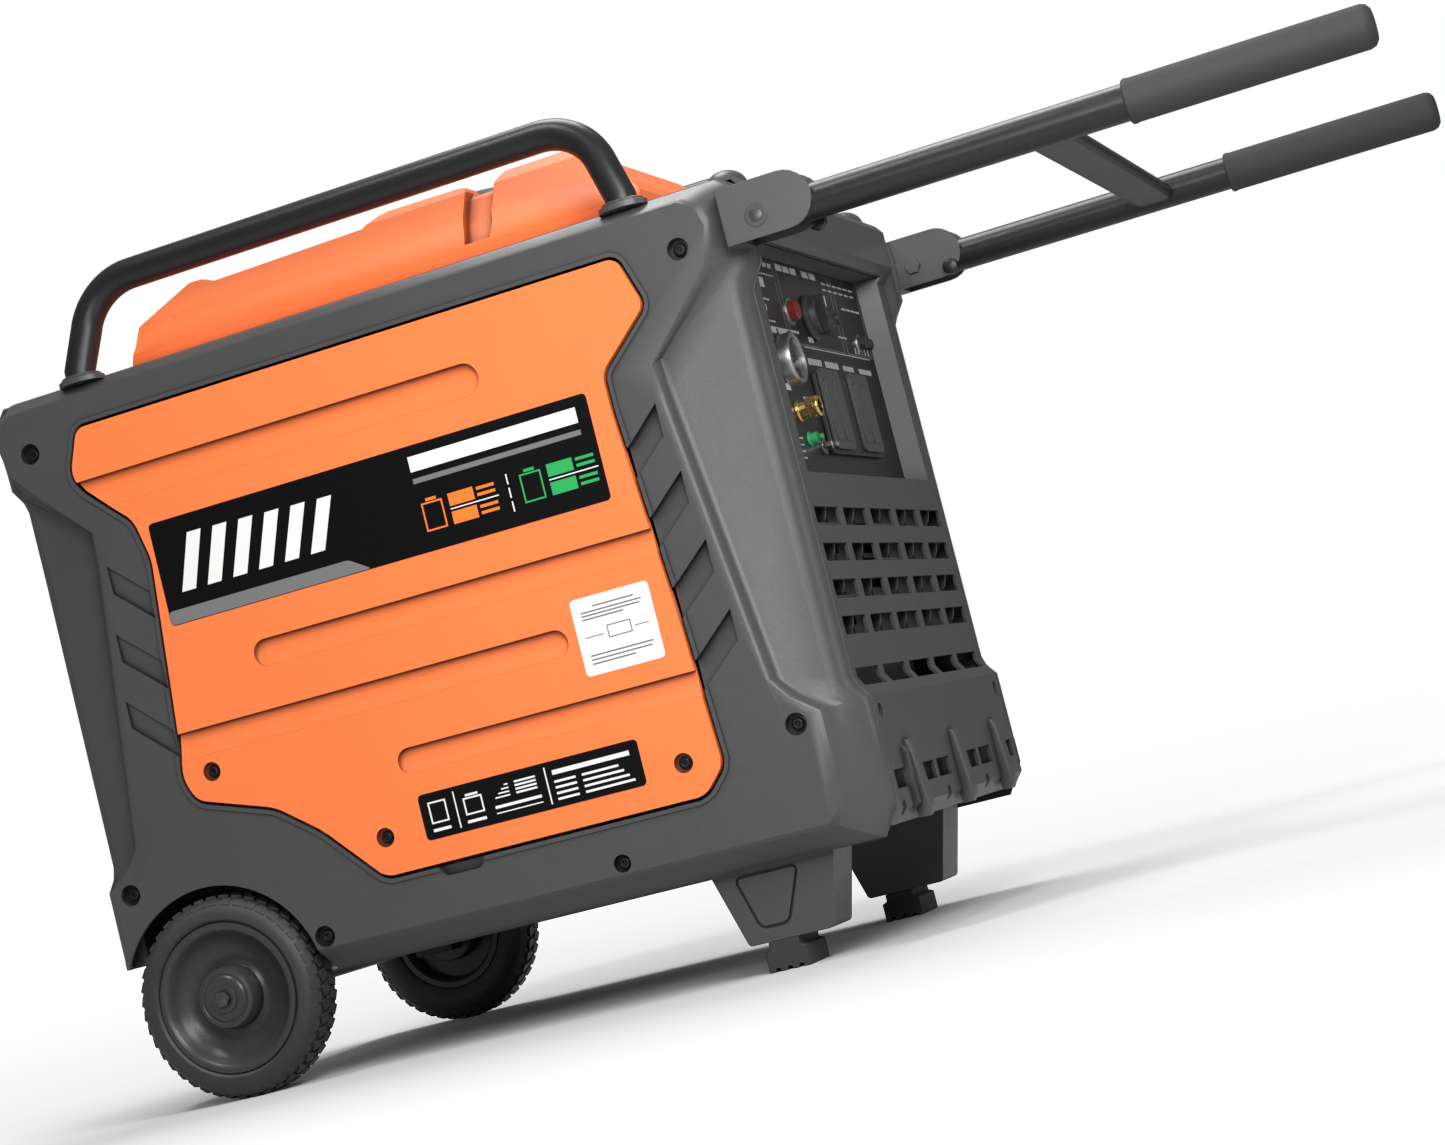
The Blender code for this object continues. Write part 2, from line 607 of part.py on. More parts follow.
# ---- wheels and legs ----
def wheel(label, side):
    centre = (0.0, 0.0, WHEEL_R)
    seat = RIM_R + TOUCH
    sidewall = [
        (seat, 0.0045), (seat + 0.004, 0.002), (seat + 0.012, 0.0), (WHEEL_R - 0.0103, 0.0015),
        (WHEEL_R - 0.0033, 0.008), (WHEEL_R, 0.016),
    ]
    tyre = [(r, TYRE_OUT - inset) for r, inset in sidewall]
    tyre += [(r, TYRE_IN + inset) for r, inset in reversed(sidewall)]
    bore = AXLE_R + TOUCH
    rim_out, rim_in = TYRE_OUT - 0.005, TYRE_IN + 0.005
    dish, disc_in, hub_in = RIM_R - 0.0101, TYRE_IN + 0.021, TYRE_IN + 0.003
    rim = [
        (bore, HUB_OUT), (bore + 0.0101, HUB_OUT), (0.0290, HUB_OUT - 0.003), (0.0300, rim_out - 0.005),
        (dish, rim_out - 0.007), (dish + 0.0024, rim_out), (RIM_R, rim_out), (RIM_R, rim_in),
        (dish + 0.0024, rim_in), (dish, disc_in), (0.0300, disc_in), (0.0296, hub_in), (bore, hub_in),
    ]
    turned("tyre_" + label, [(r, side * y) for r, y in tyre], "Y", "rubber", centre, 40)
    turned("wheel_rim_" + label, [(r, side * y) for r, y in rim], "Y", "black plastic", centre, 24)
    bolt = rod(
        "hub_bolt_" + label, (0, side * (HUB_OUT + 0.0014), WHEEL_R), "Y", 0.0020, 0.0125, 24, "bright steel"
    )
    head_low, head_high = HUB_OUT + 0.0020, BOLT_OUT
    head = rod(
        "hub_head_" + label, (0, side * (head_low + head_high) / 2, WHEEL_R), "Y",
        head_high - head_low, 0.0075, 6,
    )
    join(bolt, head)


def leg(label, side):
    top_z = BASE_Z - TOUCH
    outline = [(LEG_TOP[0], top_z), (LEG_LOW[0], LEG_Z), (LEG_LOW[1], LEG_Z), (LEG_TOP[1], top_z)]
    piece = slab("leg_" + label, [outline], "XZ", *span(side, *FOOT_Y), "grey plastic")
    hollow = [(x, z) for x, z in grown(outline, -2 * WALL)]
    cut(piece, slab("leg_hollow_" + label, [hollow], "XZ", *span(side, FOOT_Y[0] - 0.01, FOOT_Y[1] - 0.008)))
    foot = []
    grooves = 4
    pitch = (FOOT_X[1] - FOOT_X[0]) / (2 * grooves - 1)
    for index in range(grooves):
        low = FOOT_X[0] + 2 * index * pitch
        foot += [(low, 0.0), (low + pitch, 0.0)]
        if index + 1 < grooves:
            foot += [(low + pitch * 1.2, 0.003), (low + pitch * 1.8, 0.003)]
    inset = 0.005
    foot += [
        (FOOT_X[1], FOOT_STEP_Z), (FOOT_X[1] - inset, FOOT_STEP_Z + 0.002),
        (FOOT_X[1] - inset, LEG_Z - TOUCH), (FOOT_X[0] + inset, LEG_Z - TOUCH),
        (FOOT_X[0] + inset, FOOT_STEP_Z + 0.002), (FOOT_X[0], FOOT_STEP_Z),
    ]
    slab("rubber_foot_" + label, [foot], "XZ", *span(side, *FOOT_Y), "rubber")


# ---- folding handle ----
def bracket(label, side):
    """A U of two plates and a web that follows the slope of the shell's upper corner."""
    slope = (EAR_OUT + EAR_INSET) / SHELL_DEPTH
    corner_x = BODY_MIDDLE_X + EAR_HALF
    inner_x = corner_x - (PLATE_IN - SEAM_Y) * slope + 2 * FIT
    middle_y = FACE_Y - 0.012
    middle_x = corner_x - (middle_y - SEAM_Y) * slope + 2 * FIT
    web_x = PIVOT_X - TUBE_R - 2 * TUBE_PLAY
    outline = [
        (inner_x, PLATE_IN), (middle_x, middle_y), (NOSE + 0.001, PLATE_OUT), (PLATE_END_X, PLATE_OUT),
        (PLATE_END_X, PLATE_OUT - PLATE_T), (web_x, PLATE_OUT - PLATE_T), (web_x, PLATE_IN + PLATE_T),
        (PLATE_END_X, PLATE_IN + PLATE_T), (PLATE_END_X, PLATE_IN),
    ]
    name = "handle_bracket_" + label
    drawn = [(x, side * y) for x, y in outline]
    piece = slab(name, [drawn], "XY", PLATE_LOW - 0.01, PLATE_HIGH + 0.01, "black steel")
    middle_z = (PLATE_LOW + PLATE_HIGH) / 2
    end_r = (PLATE_HIGH - PLATE_LOW) / 2
    rounded = [(NOSE - 0.02, PLATE_HIGH), (NOSE - 0.02, PLATE_LOW)] + arc(
        (PLATE_END_X - end_r, middle_z), end_r, -90, 90, 12
    )
    boolean(piece, slab("plate_side_" + label, [rounded], "XZ", -0.3, 0.3), "INTERSECT")
    hole_r = PIVOT_BOLT_R + TOUCH
    bolt_hole = rod("pivot_hole_" + label, (PIVOT_X, side * TUBE_Y, PIVOT_Z), "Y", 0.06, hole_r)
    pin_y = side * (PLATE_IN + PLATE_T / 2)
    pin_hole = rod("lock_hole_" + label, (LOCK_X, pin_y, LOCK_Z), "Y", 0.01, LOCK_R + TOUCH, 16)
    cut(piece, bolt_hole, pin_hole)

    shaft_low, shaft_high = PLATE_IN - 0.003, PLATE_OUT + 0.0006
    shaft = rod(
        "pivot_bolt_" + label, (PIVOT_X, side * (shaft_low + shaft_high) / 2, PIVOT_Z), "Y",
        shaft_high - shaft_low, PIVOT_BOLT_R, 20, "bright steel",
    )
    ends = ((PLATE_OUT + TOUCH, PIVOT_BOLT_OUT), (PLATE_IN - 0.004, PLATE_IN - TOUCH))
    for index, (low, high) in enumerate(ends):
        middle = (PIVOT_X, side * (low + high) / 2, PIVOT_Z)
        head = rod(f"pivot_head_{label}_{index}", middle, "Y", high - low, 0.0085, 6)
        join(shaft, head)

    pin_out = PLATE_IN + PLATE_T
    profile = [
        (0.0, pin_out), (LOCK_R, pin_out), (LOCK_R, PLATE_IN - TOUCH), (LOCK_KNOB_R, PLATE_IN - TOUCH),
        (LOCK_KNOB_R, PLATE_IN - 0.010), (0.0, PLATE_IN - 0.012),
    ]
    drawn = [(r, side * y) for r, y in profile]
    turned("lock_pin_" + label, drawn, "Y", "bright steel", (LOCK_X, 0, LOCK_Z), 16, False)


def handle(label, side):
    pivot = (PIVOT_X, 0.0, PIVOT_Z)
    start_x = PIVOT_X - TUBE_R - 0.002
    length = TUBE_END_X - start_x
    middle = (start_x + length / 2, side * TUBE_Y, PIVOT_Z)
    piece = rod("handle_tube_" + label, middle, "X", length, TUBE_R, 20, "black steel", pivot)
    cut(piece, rod("tube_bore_" + label, middle, "X", length + 0.02, TUBE_R - TUBE_WALL, 20))
    beyond, above = TUBE_END_X + 0.01, 2 * TUBE_R
    side_view = [(beyond, PIVOT_Z - above), (beyond, PIVOT_Z + above), (PIVOT_X, PIVOT_Z + above)]
    side_view += arc((PIVOT_X, PIVOT_Z), TUBE_R - 0.0002, 90, 270, 14)
    side_view.append((PIVOT_X, PIVOT_Z - above))
    boolean(piece, slab("tube_side_" + label, [side_view], "XZ", -0.3, 0.3), "INTERSECT")
    hole_r = PIVOT_BOLT_R + TOUCH
    cut(piece, rod("tube_hole_" + label, (PIVOT_X, side * TUBE_Y, PIVOT_Z), "Y", 0.06, hole_r))

    profile = [
        (0.0, GRIP_END_X), (GRIP_R - 0.004, GRIP_END_X), (GRIP_R, GRIP_END_X - 0.004),
        (GRIP_R, GRIP_START_X + 0.002), (GRIP_R - 0.002, GRIP_START_X), (TUBE_R + TOUCH, GRIP_START_X),
        (TUBE_R + TOUCH, TUBE_END_X + TOUCH), (0.0, TUBE_END_X + TOUCH),
    ]
    turned(
        "handle_grip_" + label, [(r, x - PIVOT_X) for r, x in profile], "X", "foam",
        (PIVOT_X, side * TUBE_Y, PIVOT_Z), 20, False,
    )


def crossbar():
    pivot = (PIVOT_X, 0.0, PIVOT_Z)
    half_t = CROSSBAR_T / 2
    low_x, high_x = CROSSBAR_X
    centre_z = PIVOT_Z - 0.002
    outline = arc((low_x + half_t, centre_z), half_t, 90, 270, 6)
    outline += arc((high_x - half_t, centre_z), half_t, -90, 90, 6)
    bar = slab("handle_crossbar", [outline], "XZ", -TUBE_Y, TUBE_Y, "black steel", pivot)
    for label, side in SIDES:
        seat_x = (low_x + high_x) / 2
        seat = rod("crossbar_seat_" + label, (seat_x, side * TUBE_Y, PIVOT_Z), "X", 0.1, TUBE_R + TOUCH, 20)
        cut(bar, seat)


# ---- lift bars ----
def lift_bar(label, side):
    foot_z = TOP_Z + FIT
    points = [
        (BAR_FEET_X[0], side * BAR_Y, foot_z), (BAR_BENDS_X[0], side * BAR_TOP_Y, BAR_Z),
        (BAR_BENDS_X[1], side * BAR_TOP_Y, BAR_Z), (BAR_FEET_X[1], side * BAR_Y, foot_z),
    ]
    path = bent_path(points, BAR_BEND_R)
    heels = [Vector((*points[end][:2], foot_z + BAR_HEEL)) for end in (0, -1)]
    tube("lift_bar_" + label, [path[0], heels[0], *path[1:-1], heels[1], path[-1]], BAR_R, "black steel")


# ---- inside ----
def base_frame():
    rear, front = REAR_X + 0.004, FRONT_X - 0.004
    inner, outer, clear_x = TYRE_IN - 0.007, SEAM_Y - TOUCH, ARCH_R + 0.006
    outline = [
        (rear, -inner), (clear_x, -inner), (clear_x, -outer), (front, -outer),
        (front, outer), (clear_x, outer), (clear_x, inner), (rear, inner),
    ]
    frame = slab("base_frame", [outline], "XY", BASE_Z, BASE_TOP, "black steel")
    block_x, lap = 0.020, 0.001
    for label, side in SIDES:
        low, high = span(side, outer - BASE_T, outer)
        flange = box("side_flange_" + label, (clear_x, low, BOTTOM_Z + TOUCH), (front, high, BASE_Z + lap))
        join(frame, flange)
        low, high = span(side, inner - 0.028, inner - 0.003)
        below = WHEEL_R - AXLE_R - 0.008
        axle_block = box("axle_block_" + label, (-block_x, low, below), (block_x, high, BASE_Z + lap))
        join(frame, axle_block)
        for end, x in zip(("rear", "front"), POSTS_X):
            low, high = span(side, TANK_HALF - POST, TANK_HALF)
            post_top = TANK_Z[0] - TOUCH
            join(frame, box(f"post_{end}_{label}", (x, low, BASE_TOP - lap), (x + POST, high, post_top)))
    cut(frame, rod("axle_bore", (0, 0, WHEEL_R), "Y", 0.5, AXLE_R + TOUCH, 24))


def fuel_tank():
    low, high = TANK_Z
    chamfer = 0.030
    outline = [
        (-TANK_HALF, low), (TANK_HALF, low), (TANK_HALF, high - chamfer), (TANK_HALF - chamfer, high),
        (-TANK_HALF + chamfer, high), (-TANK_HALF, high - chamfer),
    ]
    tank = slab("fuel_tank", [outline], "YZ", *TANK_X, "black plastic")
    neck_top = CAP_Z[0] - TOUCH
    neck = rod("neck", (*CAP_AT, (high + neck_top) / 2 - 0.002), "Z", neck_top - high + 0.004, NECK_R, 24)
    join(tank, neck)
    profile = [
        (0.0, CAP_Z[1]), (CAP_R - 0.006, CAP_Z[1]), (CAP_R, CAP_Z[1] - 0.005), (CAP_R, CAP_Z[0]),
        (0.0, CAP_Z[0]),
    ]
    turned("fuel_cap", profile, "Z", "black plastic", (*CAP_AT, 0.0), 24, False)


def engine():
    low_z = BASE_TOP + TOUCH
    half = BLOCK_HALF
    outline = [
        (CRANK_X - half, low_z), (CRANK_X + half, low_z), (CRANK_X + half, CRANK_Z + 0.05),
        (CRANK_X + half - 0.03, CRANK_Z + 0.085), (CRANK_X - half + 0.03, CRANK_Z + 0.085),
        (CRANK_X - half, CRANK_Z + 0.05),
    ]
    block = slab("engine_block", [outline], "XZ", *BLOCK_Y, "aluminium")
    head_low = CRANK_Z + 0.085 + TOUCH
    fins, pitch, fin_t = 5, 0.016, 0.006
    barrel, reach = 0.050, 0.062
    top = head_low + fins * pitch + 0.004
    comb = [(CRANK_X + barrel, top), (CRANK_X - barrel, top)]
    for index in reversed(range(fins)):
        z = head_low + fin_t + index * pitch
        comb += [(CRANK_X - barrel, z + fin_t), (CRANK_X - reach, z + fin_t)]
        comb += [(CRANK_X - reach, z), (CRANK_X - barrel, z)]
    comb += [(CRANK_X - barrel, head_low), (CRANK_X + barrel, head_low)]
    for index in range(fins):
        z = head_low + fin_t + index * pitch
        comb += [(CRANK_X + barrel, z), (CRANK_X + reach, z)]
        comb += [(CRANK_X + reach, z + fin_t), (CRANK_X + barrel, z + fin_t)]
    slab("cylinder_head", [comb], "XZ", BLOCK_Y[0] + 0.02, BLOCK_Y[1] - 0.02, "aluminium")

    axis_point = (CRANK_X, 0.0, CRANK_Z)
    nose = PULLEY_Y[0] - 0.004
    rod(
        "crankshaft", (CRANK_X, (BLOCK_Y[0] + 0.01 + nose) / 2, CRANK_Z), "Y",
        nose - BLOCK_Y[0] - 0.01, CRANK_R, 24, "bright steel", axis_point,
    )
    cut(block, rod("crank_bore", (CRANK_X, 0.02, CRANK_Z), "Y", 0.2, CRANK_R + TOUCH, 24))
    stator_y = (BLOCK_Y[1] + TOUCH, BLOCK_Y[1] + 0.040)
    air_gap, rotor_wall, stator_bore = 0.001, 0.012, 0.030
    stator_r = ROTOR_R - rotor_wall - air_gap
    turned(
        "stator",
        [(stator_bore, stator_y[0]), (stator_r, stator_y[0]), (stator_r, stator_y[1]),
         (stator_bore, stator_y[1])],
        "Y", "brass", axis_point, 24,
    )
    rotor_y = (BLOCK_Y[1] + 0.006, BLOCK_Y[1] + 0.050, BLOCK_Y[1] + 0.058)
    bore = CRANK_R + TOUCH
    turned(
        "flywheel_rotor",
        [(ROTOR_R, rotor_y[0]), (ROTOR_R, rotor_y[2]), (bore, rotor_y[2]), (bore, rotor_y[1]),
         (ROTOR_R - rotor_wall, rotor_y[1]), (ROTOR_R - rotor_wall, rotor_y[0])],
        "Y", "bright steel", axis_point, 32,
    )
    blades = 10
    star = []
    for index in range(blades):
        start = 360 / blades * index
        star += arc((CRANK_X, CRANK_Z), FAN_R, start, start + 6, 1)
        star += arc((CRANK_X, CRANK_Z), 0.040, start + 12, start + 30, 2)
    fan_bore = arc((CRANK_X, CRANK_Z), bore, 0, 345, 23)
    slab("cooling_fan", [star, fan_bore], "XZ", *FAN_Y, "black plastic", axis_point)
    recoil_low, recoil_high = RECOIL_Y
    hub_r = 0.008
    housing = [
        (0.0, recoil_high), (RECOIL_R, recoil_high), (RECOIL_R, recoil_low),
        (RECOIL_R - RECOIL_WALL, recoil_low),
        (RECOIL_R - RECOIL_WALL, recoil_high - RECOIL_WALL), (hub_r, recoil_high - RECOIL_WALL),
        (hub_r, PULLEY_Y[0]), (0.0, PULLEY_Y[0]),
    ]
    turned("recoil_housing", housing, "Y", "black plastic", axis_point, 28, False)
    groove = PULLEY_R - 0.008
    pulley = [
        (hub_r + TOUCH, PULLEY_Y[0]), (PULLEY_R, PULLEY_Y[0]), (groove, PULLEY_Y[0] + 0.005),
        (groove, PULLEY_Y[1] - 0.005), (PULLEY_R, PULLEY_Y[1]), (hub_r + TOUCH, PULLEY_Y[1]),
    ]
    turned("recoil_pulley", pulley, "Y", "black plastic", axis_point, 24)
    half_x, half_z = 0.045, 0.011
    grip = box(
        "recoil_grip", (CRANK_X - half_x, COVER_Y + TOUCH, PULL_Z - half_z),
        (CRANK_X + half_x, BOLT_OUT, PULL_Z + half_z), "black plastic",
    )
    stem_low, stem_high = COVER_Y - 0.020, BOLT_OUT - 0.002
    stem_middle = (CRANK_X, (stem_low + stem_high) / 2, PULL_Z)
    join(grip, rod("grip_stem", stem_middle, "Y", stem_high - stem_low, 0.012, 20))


def services():
    low_z = BASE_TOP + TOUCH
    muffler_y = (-MUFFLER_HALF_Y, MUFFLER_HALF_Y)
    chamfer = 0.025
    (x_low, x_high), (z_low, z_high) = MUFFLER_X, MUFFLER_Z
    outline = [
        (x_low + chamfer, z_low), (x_high - chamfer, z_low), (x_high, z_low + chamfer),
        (x_high, z_high - chamfer), (x_high - chamfer, z_high), (x_low + chamfer, z_high),
        (x_low, z_high - chamfer), (x_low, z_low + chamfer),
    ]
    muffler = slab("muffler", [outline], "XZ", *muffler_y, "aluminium")
    for index, y in enumerate((-0.08, 0.08)):
        join(muffler, box(f"muffler_leg_{index}", (0.0, y - 0.01, low_z), (0.02, y + 0.01, z_low + 0.002)))
    tail_low, tail_high = REAR_X - 0.004, MUFFLER_X[0] - TOUCH
    tail = rod(
        "tail_pipe", ((tail_low + tail_high) / 2, 0, TAIL_Z), "X", tail_high - tail_low, TAIL_R, 24,
        "bright steel",
    )
    cut(tail, rod("tail_bore", (tail_low, 0, TAIL_Z), "X", 0.06, TAIL_R - 0.002, 24))

    box(
        "battery", (BATTERY_X[0], BATTERY_Y[0], low_z), (BATTERY_X[1], BATTERY_Y[1], BATTERY_TOP),
        "black plastic",
    )
    cleaner_low = BATTERY_TOP + TOUCH
    box(
        "air_cleaner", (BATTERY_X[0] - 0.025, BATTERY_Y[0], cleaner_low),
        (BATTERY_X[1] - 0.050, BATTERY_Y[1], cleaner_low + CLEANER_HEIGHT), "black plastic",
    )
    box(
        "carburettor", (CRANK_X + BLOCK_HALF + TOUCH, BLOCK_Y[0] + 0.005, 0.240),
        (CRANK_X + BLOCK_HALF + 0.050, BLOCK_Y[0] + 0.055, 0.285), "aluminium",
    )

    fins = 14
    pitch = (INVERTER_Y[1] - INVERTER_Y[0]) / (2 * fins - 1)
    comb = [(INVERTER_Y[1], low_z), (INVERTER_Y[0], low_z)]
    body_top = INVERTER_TOP - 0.040
    for index in range(fins):
        y = INVERTER_Y[0] + 2 * index * pitch
        comb += [(y, body_top), (y, INVERTER_TOP), (y + pitch, INVERTER_TOP), (y + pitch, body_top)]
    slab("inverter_module", [comb], "YZ", *INVERTER_X, "aluminium")
    rod("axle", (0, 0, WHEEL_R), "Y", 2 * AXLE_HALF, AXLE_R, 24, "bright steel")


# ---- control panel ----
def panel_hole(radius, place):
    return rod("panel_hole", (PANEL_X, *place), "X", 0.02, radius, 24)


def control_panel():
    half = RECESS_HALF - RECESS_SLOPE + WALL
    panel = box(
        "control_panel", (PANEL_X - PANEL_T, -half, RECESS_LOW), (PANEL_X, half, RECESS_HIGH), "black plastic"
    )
    cut(panel, panel_hole(BUTTON_R + RUN, BUTTON_AT), panel_hole(BREAKER_R + RUN, BREAKER_AT))
    rocker_hole = ROCKER_R + RUN
    y, z = ROCKER_AT
    cut(panel, box(
        "rocker_hole", (PANEL_X - 0.01, y - ROCKER_W / 2 - RUN, z - rocker_hole),
        (PANEL_X + 0.01, y + ROCKER_W / 2 + RUN, z + rocker_hole),
    ))
    face = PANEL_X + TOUCH

    dial = [
        (0.0, 0.018), (DIAL_R - 0.006, 0.018), (DIAL_R - 0.003, 0.016), (DIAL_R - 0.003, 0.006),
        (DIAL_R, 0.004), (DIAL_R, 0.0), (0.0, 0.0),
    ]
    turned("engine_dial", dial, "X", "black plastic", (face, *DIAL_AT), 24, False)
    for name, place, radius, look in (
        ("start_button", BUTTON_AT, BUTTON_R, "red plastic"),
        ("breaker_button", BREAKER_AT, BREAKER_R, "black plastic"),
    ):
        rod(name, (PANEL_X + 0.003, *place), "X", 0.012, radius, 20, look, (PANEL_X, *place))
    y, z = ROCKER_AT
    pivot_x = PANEL_X - 0.0015
    body = arc((pivot_x, z), ROCKER_R, 40, 320, 16)
    body.append((pivot_x + ROCKER_R * 0.55, z))
    slab("eco_rocker", [body], "XZ", y - ROCKER_W / 2, y + ROCKER_W / 2, "black plastic", (pivot_x, y, z))

    ring = [
        (0.0, 0.006), (LOCKING_R - 0.006, 0.006), (LOCKING_R - 0.005, 0.012), (LOCKING_R - 0.001, 0.012),
        (LOCKING_R, 0.009), (LOCKING_R, 0.0), (0.0, 0.0),
    ]
    turned("locking_outlet", ring, "X", "bright steel", (face, *LOCKING_AT), 28, False)
    brass = [
        (0.0, 0.026), (0.007, 0.026), (0.009, 0.022), (0.007, 0.020), (0.007, 0.014), (0.0105, 0.013),
        (0.0105, 0.0), (0.0, 0.0),
    ]
    turned("gas_inlet", brass, "X", "brass", (face, *GAS_AT), 12, False)
    earth = [
        (0.0, 0.014), (0.003, 0.014), (0.003, 0.009), (0.007, 0.008), (0.007, 0.003), (0.009, 0.002),
        (0.009, 0.0), (0.0, 0.0),
    ]
    turned("earth_terminal", earth, "X", "green", (face, *EARTH_AT), 12, False)

    low_z, high_z = FLAP_Z
    margin = 0.004
    block_x = face + 0.004
    box(
        "outlet_block", (face, FLAPS_Y[0] - FLAP_W / 2 - margin, low_z - margin),
        (block_x, FLAPS_Y[1] + FLAP_W / 2 + margin, high_z - margin), "black plastic",
    )
    hinge_x = block_x + TOUCH
    for label, y in zip(("inner", "outer"), FLAPS_Y):
        box(
            "outlet_flap_" + label, (hinge_x, y - FLAP_W / 2, low_z),
            (hinge_x + FLAP_T, y + FLAP_W / 2, high_z), "grey plastic", (hinge_x, y, high_z),
        )


for label, side in SIDES:
    side_shell("side_shell_" + label, side)
    service_cover("service_cover_" + label, side)
    wheel(label, side)
    leg(label, side)
    bracket(label, side)
    handle(label, side)
    lift_bar(label, side)
front_cover()
rear_cover()
tank_cover()
crossbar()
base_frame()
fuel_tank()
engine()
services()
control_panel()

# The model was drawn from the wheel axle. It slides back, so the origin is under the middle of its length.
rear_end = BODY_MIDDLE_X - EAR_HALF
middle_x = (rear_end + GRIP_END_X) / 2
for obj in bpy.data.objects:
    obj.location.x -= middle_x
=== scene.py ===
# %% [markdown]
# # An inverter generator on wheels
#
# A food truck runs its fridge and fryer from a generator like this one. Two moulded side shells clamp two end
# covers and an orange tank cover. Orange service covers close the sides, and a handle folds down over the panel.
#
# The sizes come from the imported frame, which is the same object drawn plainly. Each cell adds what the eye sees.

import math

import bmesh
import bpy
from mathutils import Matrix, Vector
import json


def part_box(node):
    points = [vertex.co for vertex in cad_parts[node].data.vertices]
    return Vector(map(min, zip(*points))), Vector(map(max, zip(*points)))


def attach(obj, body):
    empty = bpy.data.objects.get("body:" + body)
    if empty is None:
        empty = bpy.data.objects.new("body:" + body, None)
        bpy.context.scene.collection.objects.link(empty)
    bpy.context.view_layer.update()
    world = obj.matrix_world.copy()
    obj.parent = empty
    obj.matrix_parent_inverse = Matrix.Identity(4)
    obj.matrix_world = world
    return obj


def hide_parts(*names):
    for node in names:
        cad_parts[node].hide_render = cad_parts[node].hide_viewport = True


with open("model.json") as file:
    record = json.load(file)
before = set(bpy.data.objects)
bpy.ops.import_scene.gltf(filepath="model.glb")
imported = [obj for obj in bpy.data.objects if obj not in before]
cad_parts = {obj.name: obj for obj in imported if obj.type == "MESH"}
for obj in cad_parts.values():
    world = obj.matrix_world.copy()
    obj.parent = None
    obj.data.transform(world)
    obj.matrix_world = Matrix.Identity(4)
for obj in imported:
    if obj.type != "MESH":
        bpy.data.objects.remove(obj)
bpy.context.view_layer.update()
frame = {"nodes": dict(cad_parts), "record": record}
nodes = frame["nodes"]
body_of = {n: body for body, members in frame["record"]["behaviour"]["bodies"].items() for n in members}
axle_low, axle_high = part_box("axle")
AXLE_X = (axle_low.x + axle_high.x) / 2
AXLE_Z = (axle_low.z + axle_high.z) / 2
print(f"{len(nodes)} nodes; the axle is at x {AXLE_X:.4f}, z {AXLE_Z:.4f}")

# %% [markdown]
# ## Finishes
#
# Moulded plastic is never one even colour. It has a fine grain from the mould, a slow drift in tone, and a little
# dust on whatever faces up. On top of these, the creases get painted shade: ambient occlusion darkens the colour where
# light hardly gets in. One node group works these out, and each material takes them with its own values.


# %% A node group for grain, drift, painted crease shade and dust
def add(tree, kind, **settings):
    """A new node; settings name its properties, or its inputs when they start with in_."""
    node = tree.nodes.new(kind)
    for name, value in settings.items():
        if name.startswith("in_"):
            node.inputs[name[3:].replace("_", " ")].default_value = value
        else:
            setattr(node, name, value)
    return node


# Where a colour mix keeps its factor, its two colours and its result.
MIX_FACTOR, MIX_A, MIX_B, MIX_COLOUR = 0, 6, 7, 2


